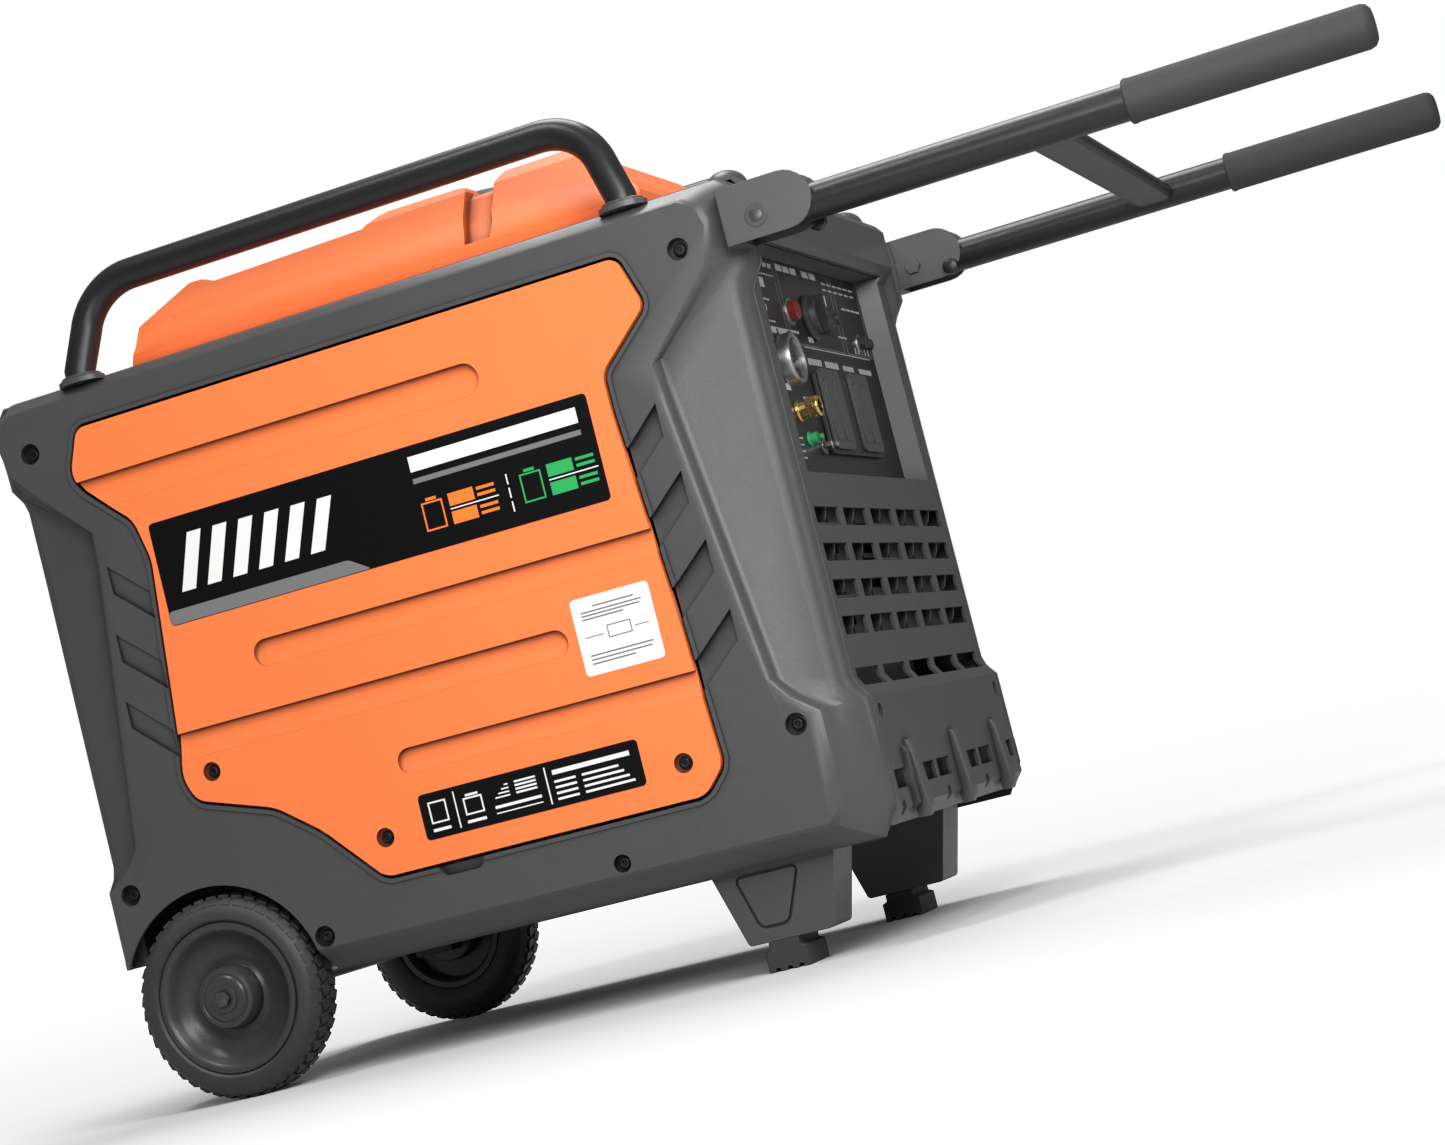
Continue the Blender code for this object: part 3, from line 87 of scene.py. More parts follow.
def surface_group():
    """Grain, drift in tone, painted shade in the creases and dust, worked out once for every material."""
    tree = bpy.data.node_groups.new("moulded surface and painted shade", "ShaderNodeTree")
    link = tree.links.new

    def calc(operation, *values):
        node = add(tree, "ShaderNodeMath", operation=operation)
        for socket, value in zip(node.inputs, values):
            if isinstance(value, (int, float)):
                socket.default_value = value
            else:
                link(value, socket)
        return node.outputs[0]

    for name, kind, value in (
        ("Base", "NodeSocketColor", (0.5, 0.5, 0.5, 1)), ("Drift", "NodeSocketFloat", 0.15),
        ("Roughness", "NodeSocketFloat", 0.5), ("Grain Scale", "NodeSocketFloat", 900.0),
        ("Dust", "NodeSocketFloat", 0.1), ("Painted Crease Shade", "NodeSocketFloat", 2.0),
    ):
        tree.interface.new_socket(name, in_out="INPUT", socket_type=kind).default_value = value
    for name, kind in (("Color", "NodeSocketColor"), ("Roughness", "NodeSocketFloat"), ("Height", "NodeSocketFloat")):
        tree.interface.new_socket(name, in_out="OUTPUT", socket_type=kind)
    given = add(tree, "NodeGroupInput").outputs
    out = add(tree, "NodeGroupOutput").inputs
    place = add(tree, "ShaderNodeTexCoord").outputs["Object"]
    broad = add(tree, "ShaderNodeTexNoise", in_Scale=7.0, in_Detail=4.0)
    speck = add(tree, "ShaderNodeTexNoise", in_Scale=160.0, in_Detail=3.0)
    grain = add(tree, "ShaderNodeTexNoise", in_Detail=2.0)
    link(given["Grain Scale"], grain.inputs["Scale"])
    for texture in (broad, speck, grain):
        link(place, texture.inputs["Vector"])
    centred = calc("SUBTRACT", broad.outputs["Fac"], 0.5)
    fine = calc("MULTIPLY", calc("SUBTRACT", speck.outputs["Fac"], 0.5), 0.4)
    tone = calc("MULTIPLY", calc("ADD", centred, fine), given["Drift"])
    # Painted shade: ambient occlusion, raised to a power, darkens the colour in creases and recesses.
    painted_crease_shade = add(tree, "ShaderNodeAmbientOcclusion", samples=8, only_local=True, in_Distance=0.016)
    shade = calc("POWER", painted_crease_shade.outputs["AO"], given["Painted Crease Shade"])
    gain = calc("MULTIPLY", calc("ADD", tone, 1.0), shade)
    tinted = add(tree, "ShaderNodeVectorMath", operation="SCALE")
    link(given["Base"], tinted.inputs[0])
    link(gain, tinted.inputs["Scale"])
    normal = add(tree, "ShaderNodeSeparateXYZ")
    link(add(tree, "ShaderNodeNewGeometry").outputs["Normal"], normal.inputs[0])
    upward = calc("MAXIMUM", normal.outputs["Z"], 0.0)
    settled = calc("MULTIPLY", upward, calc("MULTIPLY", broad.outputs["Fac"], given["Dust"]))
    dusted = add(tree, "ShaderNodeMix", data_type="RGBA")
    dusted.inputs[MIX_B].default_value = (0.42, 0.4, 0.37, 1)
    link(settled, dusted.inputs[MIX_FACTOR])
    link(tinted.outputs[0], dusted.inputs[MIX_A])
    link(dusted.outputs[MIX_COLOUR], out["Color"])
    rough = calc("MULTIPLY_ADD", speck.outputs["Fac"], 0.16, -0.08)
    rough = calc("ADD", rough, calc("ADD", given["Roughness"], settled))
    link(rough, out["Roughness"])
    link(grain.outputs["Fac"], out["Height"])
    return tree


SURFACE = surface_group()
print("surface group:", [item.name for item in SURFACE.interface.items_tree])


# %% Materials, named after the record's slots
def look(name, base, rough, metal, grain, depth, drift, dust):
    """A Principled material whose colour, roughness and bump come from the group. Depth is the grain's, in metres."""
    material = bpy.data.materials.new(name)
    material.use_nodes = True
    tree = material.node_tree
    link = tree.links.new
    shader = tree.nodes["Principled BSDF"]
    shader.inputs["Metallic"].default_value = metal
    group = add(
        tree, "ShaderNodeGroup", node_tree=SURFACE, in_Base=(*base, 1), in_Drift=drift, in_Roughness=rough,
        in_Grain_Scale=grain, in_Dust=dust,
    )
    bump = add(tree, "ShaderNodeBump", in_Strength=0.6, in_Distance=depth)
    link(group.outputs["Color"], shader.inputs["Base Color"])
    link(group.outputs["Roughness"], shader.inputs["Roughness"])
    link(group.outputs["Height"], bump.inputs["Height"])
    link(bump.outputs["Normal"], shader.inputs["Normal"])
    return material


def looks(*rows):
    """Materials by name. A row is its colour, roughness, metal, grain scale, grain depth, drift and dust."""
    return {name: look(name, *values) for name, *values in rows}


LOOKS = looks(
    ("housing", (0.057, 0.058, 0.06), 0.37, 0.0, 1100, 0.00022, 0.2, 0.1),
    ("orange", (0.95, 0.2, 0.05), 0.38, 0.0, 1300, 0.00012, 0.08, 0.03),
    ("black_plastic", (0.022, 0.022, 0.024), 0.42, 0.0, 1200, 0.00012, 0.2, 0.1),
    ("black_steel", (0.012, 0.012, 0.013), 0.36, 0.2, 300, 0.00002, 0.1, 0.04),
    ("steel", (0.42, 0.42, 0.43), 0.34, 1.0, 700, 0.00005, 0.3, 0.1),
    ("tyre", (0.03, 0.03, 0.031), 0.5, 0.0, 600, 0.0003, 0.5, 0.25),
    ("rubber", (0.03, 0.03, 0.031), 0.7, 0.0, 700, 0.0003, 0.4, 0.2),
    ("foam", (0.024, 0.024, 0.025), 0.7, 0.0, 1600, 0.0004, 0.3, 0.05),
    ("casting", (0.45, 0.45, 0.46), 0.5, 1.0, 400, 0.0006, 0.4, 0.1),
    ("brass", (0.8, 0.56, 0.2), 0.25, 1.0, 600, 0.00004, 0.25, 0.1),
    ("green", (0.02, 0.3, 0.1), 0.35, 0.0, 900, 0.0001, 0.15, 0.1),
    ("red", (0.16, 0.012, 0.01), 0.35, 0.0, 900, 0.0001, 0.15, 0.1),
    ("rim", (0.036, 0.036, 0.038), 0.3, 0.0, 900, 0.00015, 0.2, 0.1),
    ("bracket", (0.075, 0.075, 0.078), 0.34, 0.2, 1300, 0.00005, 0.2, 0.1),
    ("bolt", (0.085, 0.085, 0.088), 0.34, 0.6, 700, 0.00005, 0.2, 0.1),
)
print("materials:", sorted(LOOKS))

# %% [markdown]
# ## Tools
#
# Most of this machine is moulded from a flat outline, turned on a lathe, or cut out of something bigger. So three
# small functions make nearly all of it: one thickens an outline, one spins a profile, and one cuts or joins.

# %% Shape tools
AXES = {"X": Vector((1, 0, 0)), "Y": Vector((0, 1, 0)), "Z": Vector((0, 0, 1))}


def placed(u, v, height, axis):
    """A point of a drawing that lies across an axis, at a height along it."""
    return {"X": (height, u, v), "Y": (u, height, v), "Z": (u, v, height)}[axis]


def prism(outline, axis, low, high):
    bm = bmesh.new()
    face = bm.faces.new([bm.verts.new(placed(u, v, low, axis)) for u, v in outline])
    raised = bmesh.ops.extrude_face_region(bm, geom=[face])["geom"]
    verts = [item for item in raised if isinstance(item, bmesh.types.BMVert)]
    bmesh.ops.translate(bm, vec=AXES[axis] * (high - low), verts=verts)
    bmesh.ops.recalc_face_normals(bm, faces=bm.faces)
    return bm


def spun(profile, axis, centre, steps=48):
    """A profile of (radius, height) pairs turned round an axis through centre; closed if it ends at the axis."""
    bm = bmesh.new()
    across = {"X": Vector((0, 0, 1)), "Y": Vector((1, 0, 0)), "Z": Vector((1, 0, 0))}[axis]
    start = Vector(centre) * (Vector((1, 1, 1)) - AXES[axis])
    row = [bm.verts.new(start + across * r + AXES[axis] * h) for r, h in profile]
    edges = [bm.edges.new(pair) for pair in zip(row, row[1:])]
    if profile[0][0] > 1e-6:
        edges.append(bm.edges.new((row[-1], row[0])))
    bmesh.ops.spin(
        bm, geom=row + edges, cent=start, axis=AXES[axis], dvec=(0, 0, 0), angle=math.tau, steps=steps,
        use_merge=True, use_duplicate=False,
    )
    bmesh.ops.remove_doubles(bm, verts=bm.verts, dist=1e-6)
    bmesh.ops.recalc_face_normals(bm, faces=bm.faces)
    return bm


def rod(centre, axis, length, radius, steps=32):
    turn = {"X": Matrix.Rotation(math.pi / 2, 4, "Y"), "Y": Matrix.Rotation(math.pi / 2, 4, "X"), "Z": Matrix()}[axis]
    bm = bmesh.new()
    bmesh.ops.create_cone(
        bm, cap_ends=True, segments=steps, radius1=radius, radius2=radius, depth=length,
        matrix=Matrix.Translation(centre) @ turn,
    )
    return bm


def block(low, high):
    bm = bmesh.new()
    size = Vector(high) - Vector(low)
    middle = (Vector(high) + Vector(low)) / 2
    bmesh.ops.create_cube(bm, size=1, matrix=Matrix.Translation(middle) @ Matrix.Diagonal((*size, 1)))
    return bm


def together(*parts):
    """Several loose shapes as one mesh."""
    whole = bmesh.new()
    for part in parts:
        mesh = bpy.data.meshes.new("part")
        part.to_mesh(mesh)
        part.free()
        whole.from_mesh(mesh)
        bpy.data.meshes.remove(mesh)
    return whole


def moved(bm, matrix):
    bmesh.ops.transform(bm, matrix=matrix, verts=bm.verts)
    return bm


def held(bm, name):
    mesh = bpy.data.meshes.new(name)
    bm.to_mesh(mesh)
    bm.free()
    obj = bpy.data.objects.new(name, mesh)
    bpy.context.scene.collection.objects.link(obj)
    return obj


def evaluated(obj, *tools):
    """An object's mesh after its modifiers. The object and its tools are then removed."""
    result = bmesh.new()
    result.from_mesh(obj.evaluated_get(bpy.context.evaluated_depsgraph_get()).to_mesh())
    for used in (obj, *tools):
        mesh = used.data
        bpy.data.objects.remove(used)
        bpy.data.meshes.remove(mesh)
    return result


def solved(bm, **tools):
    """The mesh after Booleans; tools are DIFFERENCE, UNION or INTERSECT, each a mesh or a list of them, in order."""
    obj = held(bm, "work")
    others = []
    for operation, given in tools.items():
        for tool in given if isinstance(given, list) else [given]:
            others.append(held(tool, "tool"))
            modifier = obj.modifiers.new(operation, "BOOLEAN")
            modifier.operation, modifier.solver, modifier.object = operation, "EXACT", others[-1]
    result = evaluated(obj, *others)
    bmesh.ops.remove_doubles(result, verts=result.verts, dist=5e-6)
    bmesh.ops.dissolve_limit(result, angle_limit=math.radians(0.3), verts=result.verts, edges=result.edges)
    return result


def cad_copy(name):
    """A CAD node's own mesh, merged, with its flat faces made whole again."""
    bm = bmesh.new()
    bm.from_mesh(nodes[name].data)
    bmesh.ops.remove_doubles(bm, verts=bm.verts, dist=2e-6)
    bmesh.ops.dissolve_limit(bm, angle_limit=math.radians(0.2), verts=bm.verts, edges=bm.edges)
    return bm


def piece(name, bm, slot, node=None, body="generator", finish=None, bevel=0.0, steps=2, smooth=35, edge_angle=25):
    """The finished object: merged, shaded, riding on its body, and standing for its CAD node where it has one.

    A finish is a look other than its slot's."""
    bmesh.ops.remove_doubles(bm, verts=bm.verts, dist=1e-6)
    bmesh.ops.recalc_face_normals(bm, faces=bm.faces)
    for face in bm.faces:
        face.smooth = True
    obj = held(bm, name)
    obj.data.materials.append(LOOKS[finish or slot])
    obj.data.set_sharp_from_angle(angle=math.radians(smooth))
    if bevel:
        edge = obj.modifiers.new("soft edges", "BEVEL")
        edge.width, edge.segments, edge.limit_method = bevel, steps, "ANGLE"
        edge.angle_limit = math.radians(edge_angle)
        edge.use_clamp_overlap = True
        edge.harden_normals = True
    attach(obj, body_of[node] if node else body)
    if node:
        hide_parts(node)
    return obj


SIDES = ("right", "left")


def paired(name, bm, slot, label, node=None, **settings):
    """A piece for one side of the machine. It is drawn for the left one, and turned over for the right one."""
    if label == "right":
        bmesh.ops.transform(bm, matrix=Matrix.Diagonal((1, -1, 1, 1)), verts=bm.verts)
        bmesh.ops.reverse_faces(bm, faces=bm.faces)
    return piece(f"{name}_{label}", bm, slot, node and f"{node}_{label}", **settings)


def bevelled(bm, geom, offset, segments=3, affect="EDGES"):
    bmesh.ops.bevel(
        bm, geom=geom, offset=offset, offset_type="OFFSET", segments=segments, profile=0.5, affect=affect,
        clamp_overlap=True, material=-1,
    )


def rounded(outline, radius, segments=4):
    """The outline with its corners rounded, by bevelling the corners of one flat face."""
    bm = bmesh.new()
    bm.faces.new([bm.verts.new((u, v, 0)) for u, v in outline])
    bevelled(bm, bm.verts[:], radius, segments, "VERTICES")
    face = max(bm.faces, key=lambda f: f.calc_area())
    points = [(v.co.x, v.co.y) for v in face.verts]
    bm.free()
    return points


def grown(points, distance):
    """The outline moved outwards, its corners kept."""
    area = sum(a[0] * b[1] - b[0] * a[1] for a, b in zip(points, points[1:] + points[:1]))
    sign = 1 if area > 0 else -1
    result = []
    for before, here, after in zip(points[-1:] + points[:-1], points, points[1:] + points[:1]):
        first = (Vector(here) - Vector(before)).normalized()
        second = (Vector(after) - Vector(here)).normalized()
        normal_1, normal_2 = Vector((first.y, -first.x)) * sign, Vector((second.y, -second.x)) * sign
        shift = (normal_1 + normal_2) / (1 + normal_1.dot(normal_2)) * distance
        result.append((here[0] + shift.x, here[1] + shift.y))
    return result


def off(u, v, *pairs):
    """Points given in millimetres from (u, v)."""
    return [(u + a / 1000, v + b / 1000) for a, b in pairs]


def rect(u_low, u_high, v_low, v_high):
    return [(u_low, v_low), (u_high, v_low), (u_high, v_high), (u_low, v_high)]


def at(x):
    """An X measured from the axle, in the frame's own X."""
    return AXLE_X + x


def centre_of(node):
    low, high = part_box(node)
    return (low + high) / 2


def span(node):
    """How near to the middle of the machine a node reaches, and how far out."""
    low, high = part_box(node)
    return sorted((abs(low.y), abs(high.y)))


def hexagon(u, v, radius):
    return [(u + radius * math.cos(math.tau * k / 6), v + radius * math.sin(math.tau * k / 6)) for k in range(6)]


def rods(places, y, length, extra=0.0):
    """A rod along Y at each (x, z, radius), with this much added to its radius."""
    return together(*[rod((at(x), y, z), "Y", length, r + extra) for x, z, r in places])


print("shape tools ready")


# %% [markdown]
# ## Side shells
#
# Each shell is one big injection moulding, about 3 mm thick. It rounds over at its corners and steps down to a flat
# along its waist, and a fine lip runs along its seam. Slanted steps beside the service cover stiffen it. Six bolts
# clamp the shell to the machine, each down in a round pocket.

# %% Outline of the service cover, read off its CAD node
cover_copy = cad_copy("service_cover_right")
widest = max(cover_copy.faces, key=lambda f: f.calc_area())
COVER = [(v.co.x, v.co.z) for v in widest.verts]
cover_copy.free()
COVER_ROUND = rounded(COVER, 0.009)
FACE_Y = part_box("side_shell_left")[1].y
COVER_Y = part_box("service_cover_left")[1].y
print(f"cover outline of {len(COVER)} corners; shell face at {FACE_Y:.4f}, cover at {COVER_Y:.4f}")

# %% Bolts with a hexagon socket
SHELL_BOLTS = (
    (-0.066, 0.606, 0.0095), (0.574, 0.607, 0.0095), (-0.07, 0.199, 0.0095), (0.107, 0.122, 0.0095),
    (0.393, 0.121, 0.0078), (0.572, 0.198, 0.0095),
)
COVER_BOLTS = ((0.0386, 0.2868, 0.0085), (0.1867, 0.1922, 0.0085), (0.4688, 0.19, 0.0085))
POCKET_DEPTH = 0.009


def socket_bolt(x, z, seat, radius=0.0055, height=0.0045):
    """A domed button head on a washer, seen from +Y."""
    top = seat + height
    head = spun(
        [(0, seat), *off(radius, seat, (1.2, 0), (1.2, 0.8), (0, 1)), *off(radius, top, (0, -1.6), (-1.4, -0.2)),
         (0, top)],
        "Y", (x, 0, z), 24,
    )
    return solved(head, DIFFERENCE=prism(hexagon(x, z, 0.0028), "Y", top - 0.0025, top + 0.001))


print(f"{len(SHELL_BOLTS)} bolts in each shell and {len(COVER_BOLTS)} in each cover")

# %% The slanted steps
# From the top down, ahead of the cover and then behind it: each step's upper edge from left to right, how far its
# lower edge lies below, and whether it is deepest along its upper edge.
STEPS = (
    ((0.4868, 0.457), (0.5215, 0.488), 0.0285, True), ((0.49, 0.394), (0.529, 0.4275), 0.028, True),
    ((0.494, 0.3318), (0.5355, 0.3665), 0.0285, True), ((0.499, 0.269), (0.541, 0.305), 0.027, True),
    ((-0.017, 0.4885), (0.019, 0.4565), 0.0255, False), ((-0.024, 0.4275), (0.015, 0.3935), 0.0255, False),
    ((-0.03, 0.3675), (0.0105, 0.331), 0.025, False),
)


def step_outline(start, end, drop):
    (x_a, z_a), (x_b, z_b) = start, end
    return [(at(x_a), z_a), (at(x_b), z_b), (at(x_b), z_b - drop), (at(x_a), z_a - drop)]


def slanted_step(start, end, drop, deep_above):
    """The cutter for one step, deep along one long edge and shallow along the other."""
    deep, shallow = (0.0055, 0.0018) if deep_above else (0.003, 0.0016)
    bm = prism(step_outline(start, end, drop), "Y", FACE_Y - deep, FACE_Y + 0.002)
    (x_a, z_a), (x_b, z_b) = start, end
    for vert in bm.verts:
        along = (vert.co.x - at(x_a)) / (x_b - x_a)
        upper = vert.co.z > z_a + (z_b - z_a) * along - drop / 2
        if vert.co.y < FACE_Y - 0.001 and upper != deep_above:
            vert.co.y = FACE_Y - shallow
    return bm


print(f"{len(STEPS)} slanted steps")

# %% The wall of a shell
# From the top corner at the front down to the bottom one: how far ahead of the middle and how high the corner lies
# on the face and on the seam, and whether the shell steps down to a flat there or just rounds over.
CORNERS = (
    (0.322, 0.645, 0.352, 0.66, False), (0.336, 0.636, 0.366, 0.65, False), (0.34, 0.62, 0.371, 0.636, False),
    (0.333, 0.59, 0.371, 0.582, False), (0.322, 0.578, 0.362, 0.569, True), (0.265, 0.52, 0.358, 0.561, True),
    (0.266, 0.49, 0.358, 0.49, True), (0.295, 0.24, 0.358, 0.226, True), (0.309, 0.222, 0.361, 0.216, True),
    (0.33, 0.204, 0.369, 0.206, False), (0.33, 0.124, 0.369, 0.118, False), (0.318, 0.112, 0.352, 0.09, False),
)
REAR_SHIFT = 0.018  # the face ends this much further out at the rear than at the front
WALL = 0.003
# Rounded edge: share of the way to the seam, and depth under the face. Stepped edge: metres from either end.
ROUND = (
    (0, 0), (0.03, 0.0008), (0.1, 0.002), (0.17, 0.0038), (0.26, 0.0066), (0.42, 0.0112), (0.62, 0.017),
    (0.78, 0.0218), (0.9, 0.0258), (0.97, 0.0298), (1, 0.034),
)
NEAR_FACE = ((0, 0), (0.0015, 0.0004), (0.004, 0.0022), (0.0065, 0.006), (0.009, 0.009), (0.013, 0.0104))
NEAR_SEAM = ((0.017, 0.013), (0.011, 0.0148), (0.0055, 0.0195), (0.0015, 0.027), (0, 0.034))


def shell_corners():
    """Every corner round the shell: its point on the face, its point on the seam, and whether it is stepped."""
    middle = centre_of("side_shell_left").x
    ahead = [((middle + fx, fz), (middle + sx, sz), flat) for fx, fz, sx, sz, flat in CORNERS]
    behind = [((middle - fx - REAR_SHIFT, fz), (middle - sx, sz), flat) for fx, fz, sx, sz, flat in CORNERS]
    return ahead + behind[::-1]


def corner_line(face, seam, flat):
    """The points from a corner of the face out to the seam."""
    face, seam = Vector(face), Vector(seam)
    reach = (seam - face).length
    if flat:
        profile = [(d / reach, depth) for d, depth in NEAR_FACE] + [(1 - d / reach, depth) for d, depth in NEAR_SEAM]
    else:
        profile = ROUND
    return [(*face.lerp(seam, u), FACE_Y - depth) for u, depth in profile]


def shell_skin(corners):
    """Rings of points from the face out to the seam, bridged and given a thickness."""
    bm = bmesh.new()
    levels = zip(*[corner_line(*corner) for corner in corners])
    loops = [[bm.verts.new((x, y, z)) for x, z, y in level] for level in levels]
    rings = [[bm.edges.new(pair) for pair in zip(loop, loop[1:] + loop[:1])] for loop in loops]
    for inner, outer in zip(rings, rings[1:]):
        bmesh.ops.bridge_loops(bm, edges=inner + outer)
    bm.faces.new(loops[0])
    bmesh.ops.recalc_face_normals(bm, faces=bm.faces)
    skin = held(bm, "skin")
    wall = skin.modifiers.new("wall", "SOLIDIFY")
    wall.thickness, wall.offset, wall.use_even_offset = WALL, -1, False
    return evaluated(skin)


corners = shell_corners()
print(f"{len(corners)} corners round each shell")

# %% The shells, the lip along their seam, and their bolts
COVER_GAP = 0.003
ARCH_R = 0.0995
BEHIND_WHEEL = ((at(-0.2), 0, 0), (at(-0.06), 0.4, 0.135))
seam_line = [seam for face, seam, flat in corners]


def from_face(outline, deep, high):
    """A prism along Y from this deep under the shell's face to this high above it."""
    return prism(outline, "Y", FACE_Y - deep, FACE_Y + high)


for label in SIDES:
    backing = [from_face(grown(COVER_ROUND, 0.0066), 0.003, 0.0012)]
    backing += [from_face(grown(step_outline(*step[:3]), 0.0025), 0.0085, -0.001) for step in STEPS]
    backing.append(block((at(0.215), FACE_Y - 0.01, 0.138), (at(0.285), FACE_Y - 0.001, 0.17)))
    flange = from_face(grown(seam_line, -0.0008), 0.0338, -0.0315)
    flange = solved(flange, DIFFERENCE=from_face(grown(seam_line, -0.022), 0.04, 0))
    notch = rounded([(at(0.222), 0.168), (at(0.232), 0.147), (at(0.268), 0.147), (at(0.278), 0.168)], 0.004)
    cuts = [
        from_face(grown(COVER_ROUND, COVER_GAP), 0.02, 0.01), rods(SHELL_BOLTS, FACE_Y, 2 * POCKET_DEPTH),
        together(*[slanted_step(*step) for step in STEPS]), from_face(notch, 0.007, 0.01),
        rod((AXLE_X, FACE_Y, AXLE_Z), "Y", 0.12, ARCH_R, 96), block(*BEHIND_WHEEL),
    ]
    cups = rods(SHELL_BOLTS, FACE_Y - 0.0065, 0.011, 0.0012)
    shell = solved(shell_skin(corners), UNION=[cups, *backing, flange], DIFFERENCE=cuts)
    paired("shell", shell, "housing", label, "side_shell", bevel=0.001, edge_angle=38)
    arch = rod((AXLE_X, FACE_Y, AXLE_Z), "Y", 0.12, ARCH_R + 0.001, 96)
    lip = from_face(grown(seam_line, 0.0009), 0.0352, -0.0338)
    lip = solved(lip, DIFFERENCE=[from_face(grown(seam_line, -0.003), 0.04, 0), arch, block(*BEHIND_WHEEL)])
    paired("seam_lip", lip, "housing", label, bevel=0.0003)
    bolts = [socket_bolt(at(x), z, FACE_Y - POCKET_DEPTH) for x, z, r in SHELL_BOLTS]
    bolts += [socket_bolt(at(x), z, COVER_Y - 0.0065, 0.005, 0.004) for x, z, r in COVER_BOLTS]
    paired("side_bolts", together(*bolts), "steel", label, finish="black_steel", bevel=0.0003)
print("side shells made")

# %% [markdown]
# ## Service covers
#
# The cover is thin, so four long grooves are pressed into it. Each one is deep along its top and runs out to
# nothing along its bottom, which keeps the sheet from drumming and sheds water.

# %% The covers and their grooves
COVER_T = 0.008
GROOVES = (
    (-0.06, 0.3738, 0.5395, 0.5685, "front"), (0.1054, 0.56, 0.363, 0.3875, "rear"),
    (-0.04, 0.3949, 0.302, 0.3265, "front"), (0.215, 0.56, 0.24, 0.2625, "rear"),
)


def groove(x_low, x_high, z_low, z_high, round_end, depth=0.005):
    radius = (z_high - z_low) / 2
    middle = (z_low + z_high) / 2
    end_x = x_high - radius if round_end == "front" else x_low + radius
    start = -90 if round_end == "front" else 90
    arc = [math.radians(start + 180 * k / 12) for k in range(13)]
    curve = [(at(end_x) + radius * math.cos(a), middle + radius * math.sin(a)) for a in arc]
    far = at(x_low if round_end == "front" else x_high)
    flat = [(far, curve[-1][1]), (far, curve[0][1])]
    bm = prism(curve + flat, "Y", COVER_Y - depth, COVER_Y + 0.002)
    for vert in bm.verts:
        if vert.co.y < COVER_Y:
            vert.co.y = COVER_Y - depth * (0.08 + 0.92 * (vert.co.z - z_low) / (z_high - z_low))
    return bm


for label in SIDES:
    plate = prism(COVER_ROUND, "Y", COVER_Y - COVER_T, COVER_Y)
    cuts = [groove(*g) for g in GROOVES] + [rods(COVER_BOLTS, COVER_Y, 0.013)]
    if label == "left":
        grip = centre_of("recoil_grip")
        cuts.append(rod((grip.x, COVER_Y, grip.z), "Y", 0.04, 0.016))
    plate = solved(plate, UNION=rods(COVER_BOLTS, COVER_Y - 0.006, 0.008, 0.0015), DIFFERENCE=cuts)
    paired("cover", plate, "orange", label, "service_cover", bevel=0.0011, steps=3)
print(f"service covers made, with {len(GROOVES)} grooves each")

# %% Bare label plates
LOOKS.update(looks(
    ("band_orange", (0.9, 0.2, 0.03), 0.35, 0.0, 1500, 0.00003, 0.05, 0.0),
    ("band_green", (0.03, 0.36, 0.1), 0.35, 0.0, 1500, 0.00003, 0.05, 0.0),
    ("sticker", (0.8, 0.8, 0.79), 0.4, 0.0, 1500, 0.00003, 0.05, 0.0),
    ("band_black", (0.003, 0.003, 0.0035), 0.42, 0.0, 1500, 0.00001, 0.1, 0.0),
    ("band_grey", (0.17, 0.17, 0.175), 0.3, 0.0, 1500, 0.00003, 0.1, 0.02),
))
for name in ("band_black", "band_grey", "band_orange", "band_green"):
    LOOKS[name].node_tree.nodes["Principled BSDF"].inputs["Specular IOR Level"].default_value = 0.12
PLATES = (
    ("band", rect(0.034, 0.464, 0.42, 0.5135), 0.004, 0.0005, "band_black"),
    ("stripe", [(0.0345, 0.4205), (0.235, 0.4205), (0.215, 0.433), (0.0345, 0.433)], 0.003, 0.0008, "band_grey"),
    ("sticker", rect(0.404, 0.477, 0.28, 0.3465), 0.004, 0.0005, "sticker"),
    ("strip", rect(0.225, 0.433, 0.18, 0.22), 0.004, 0.0005, "band_black"),
)
for label in SIDES:
    for name, outline, radius, height, finish in PLATES:
        plate = prism(rounded([(at(x), z) for x, z in outline], radius), "Y", COVER_Y - 0.0003, COVER_Y + height)
        paired(f"label_{name}", plate, "orange", label, finish=finish, bevel=0.0002)
print(f"{len(PLATES)} label plates on each side")


# %% Plain bars and boxes where printing would be
def slab(x_low, x_high, z_low, z_high, lean=0.0):
    """A plain mark on a label, leaning forwards by this much at the top."""
    outline = [(at(x_low), z_low), (at(x_high), z_low), (at(x_high + lean), z_high), (at(x_low + lean), z_high)]
    return prism(outline, "Y", COVER_Y - 0.0001, COVER_Y + 0.0007)


def ring_mark(x_low, x_high, z_low, z_high, line=0.0014):
    low = (at(x_low + line), COVER_Y - 0.01, z_low + line)
    high = (at(x_high - line), COVER_Y + 0.01, z_high - line)
    return solved(slab(x_low, x_high, z_low, z_high), DIFFERENCE=block(low, high))


def symbol(x):
    """The bars and the box of one coloured group."""
    bars = [(x + 5, x + 15, 463, 465.5), (x + 26, x + 50, 453, 464), (x + 26, x + 50, 437, 448)]
    return bars + [(x + 53, x + 70, z, z + 2.6) for z in (460, 454.5, 444, 438.5)], [(x, x + 20, 437, 462)]


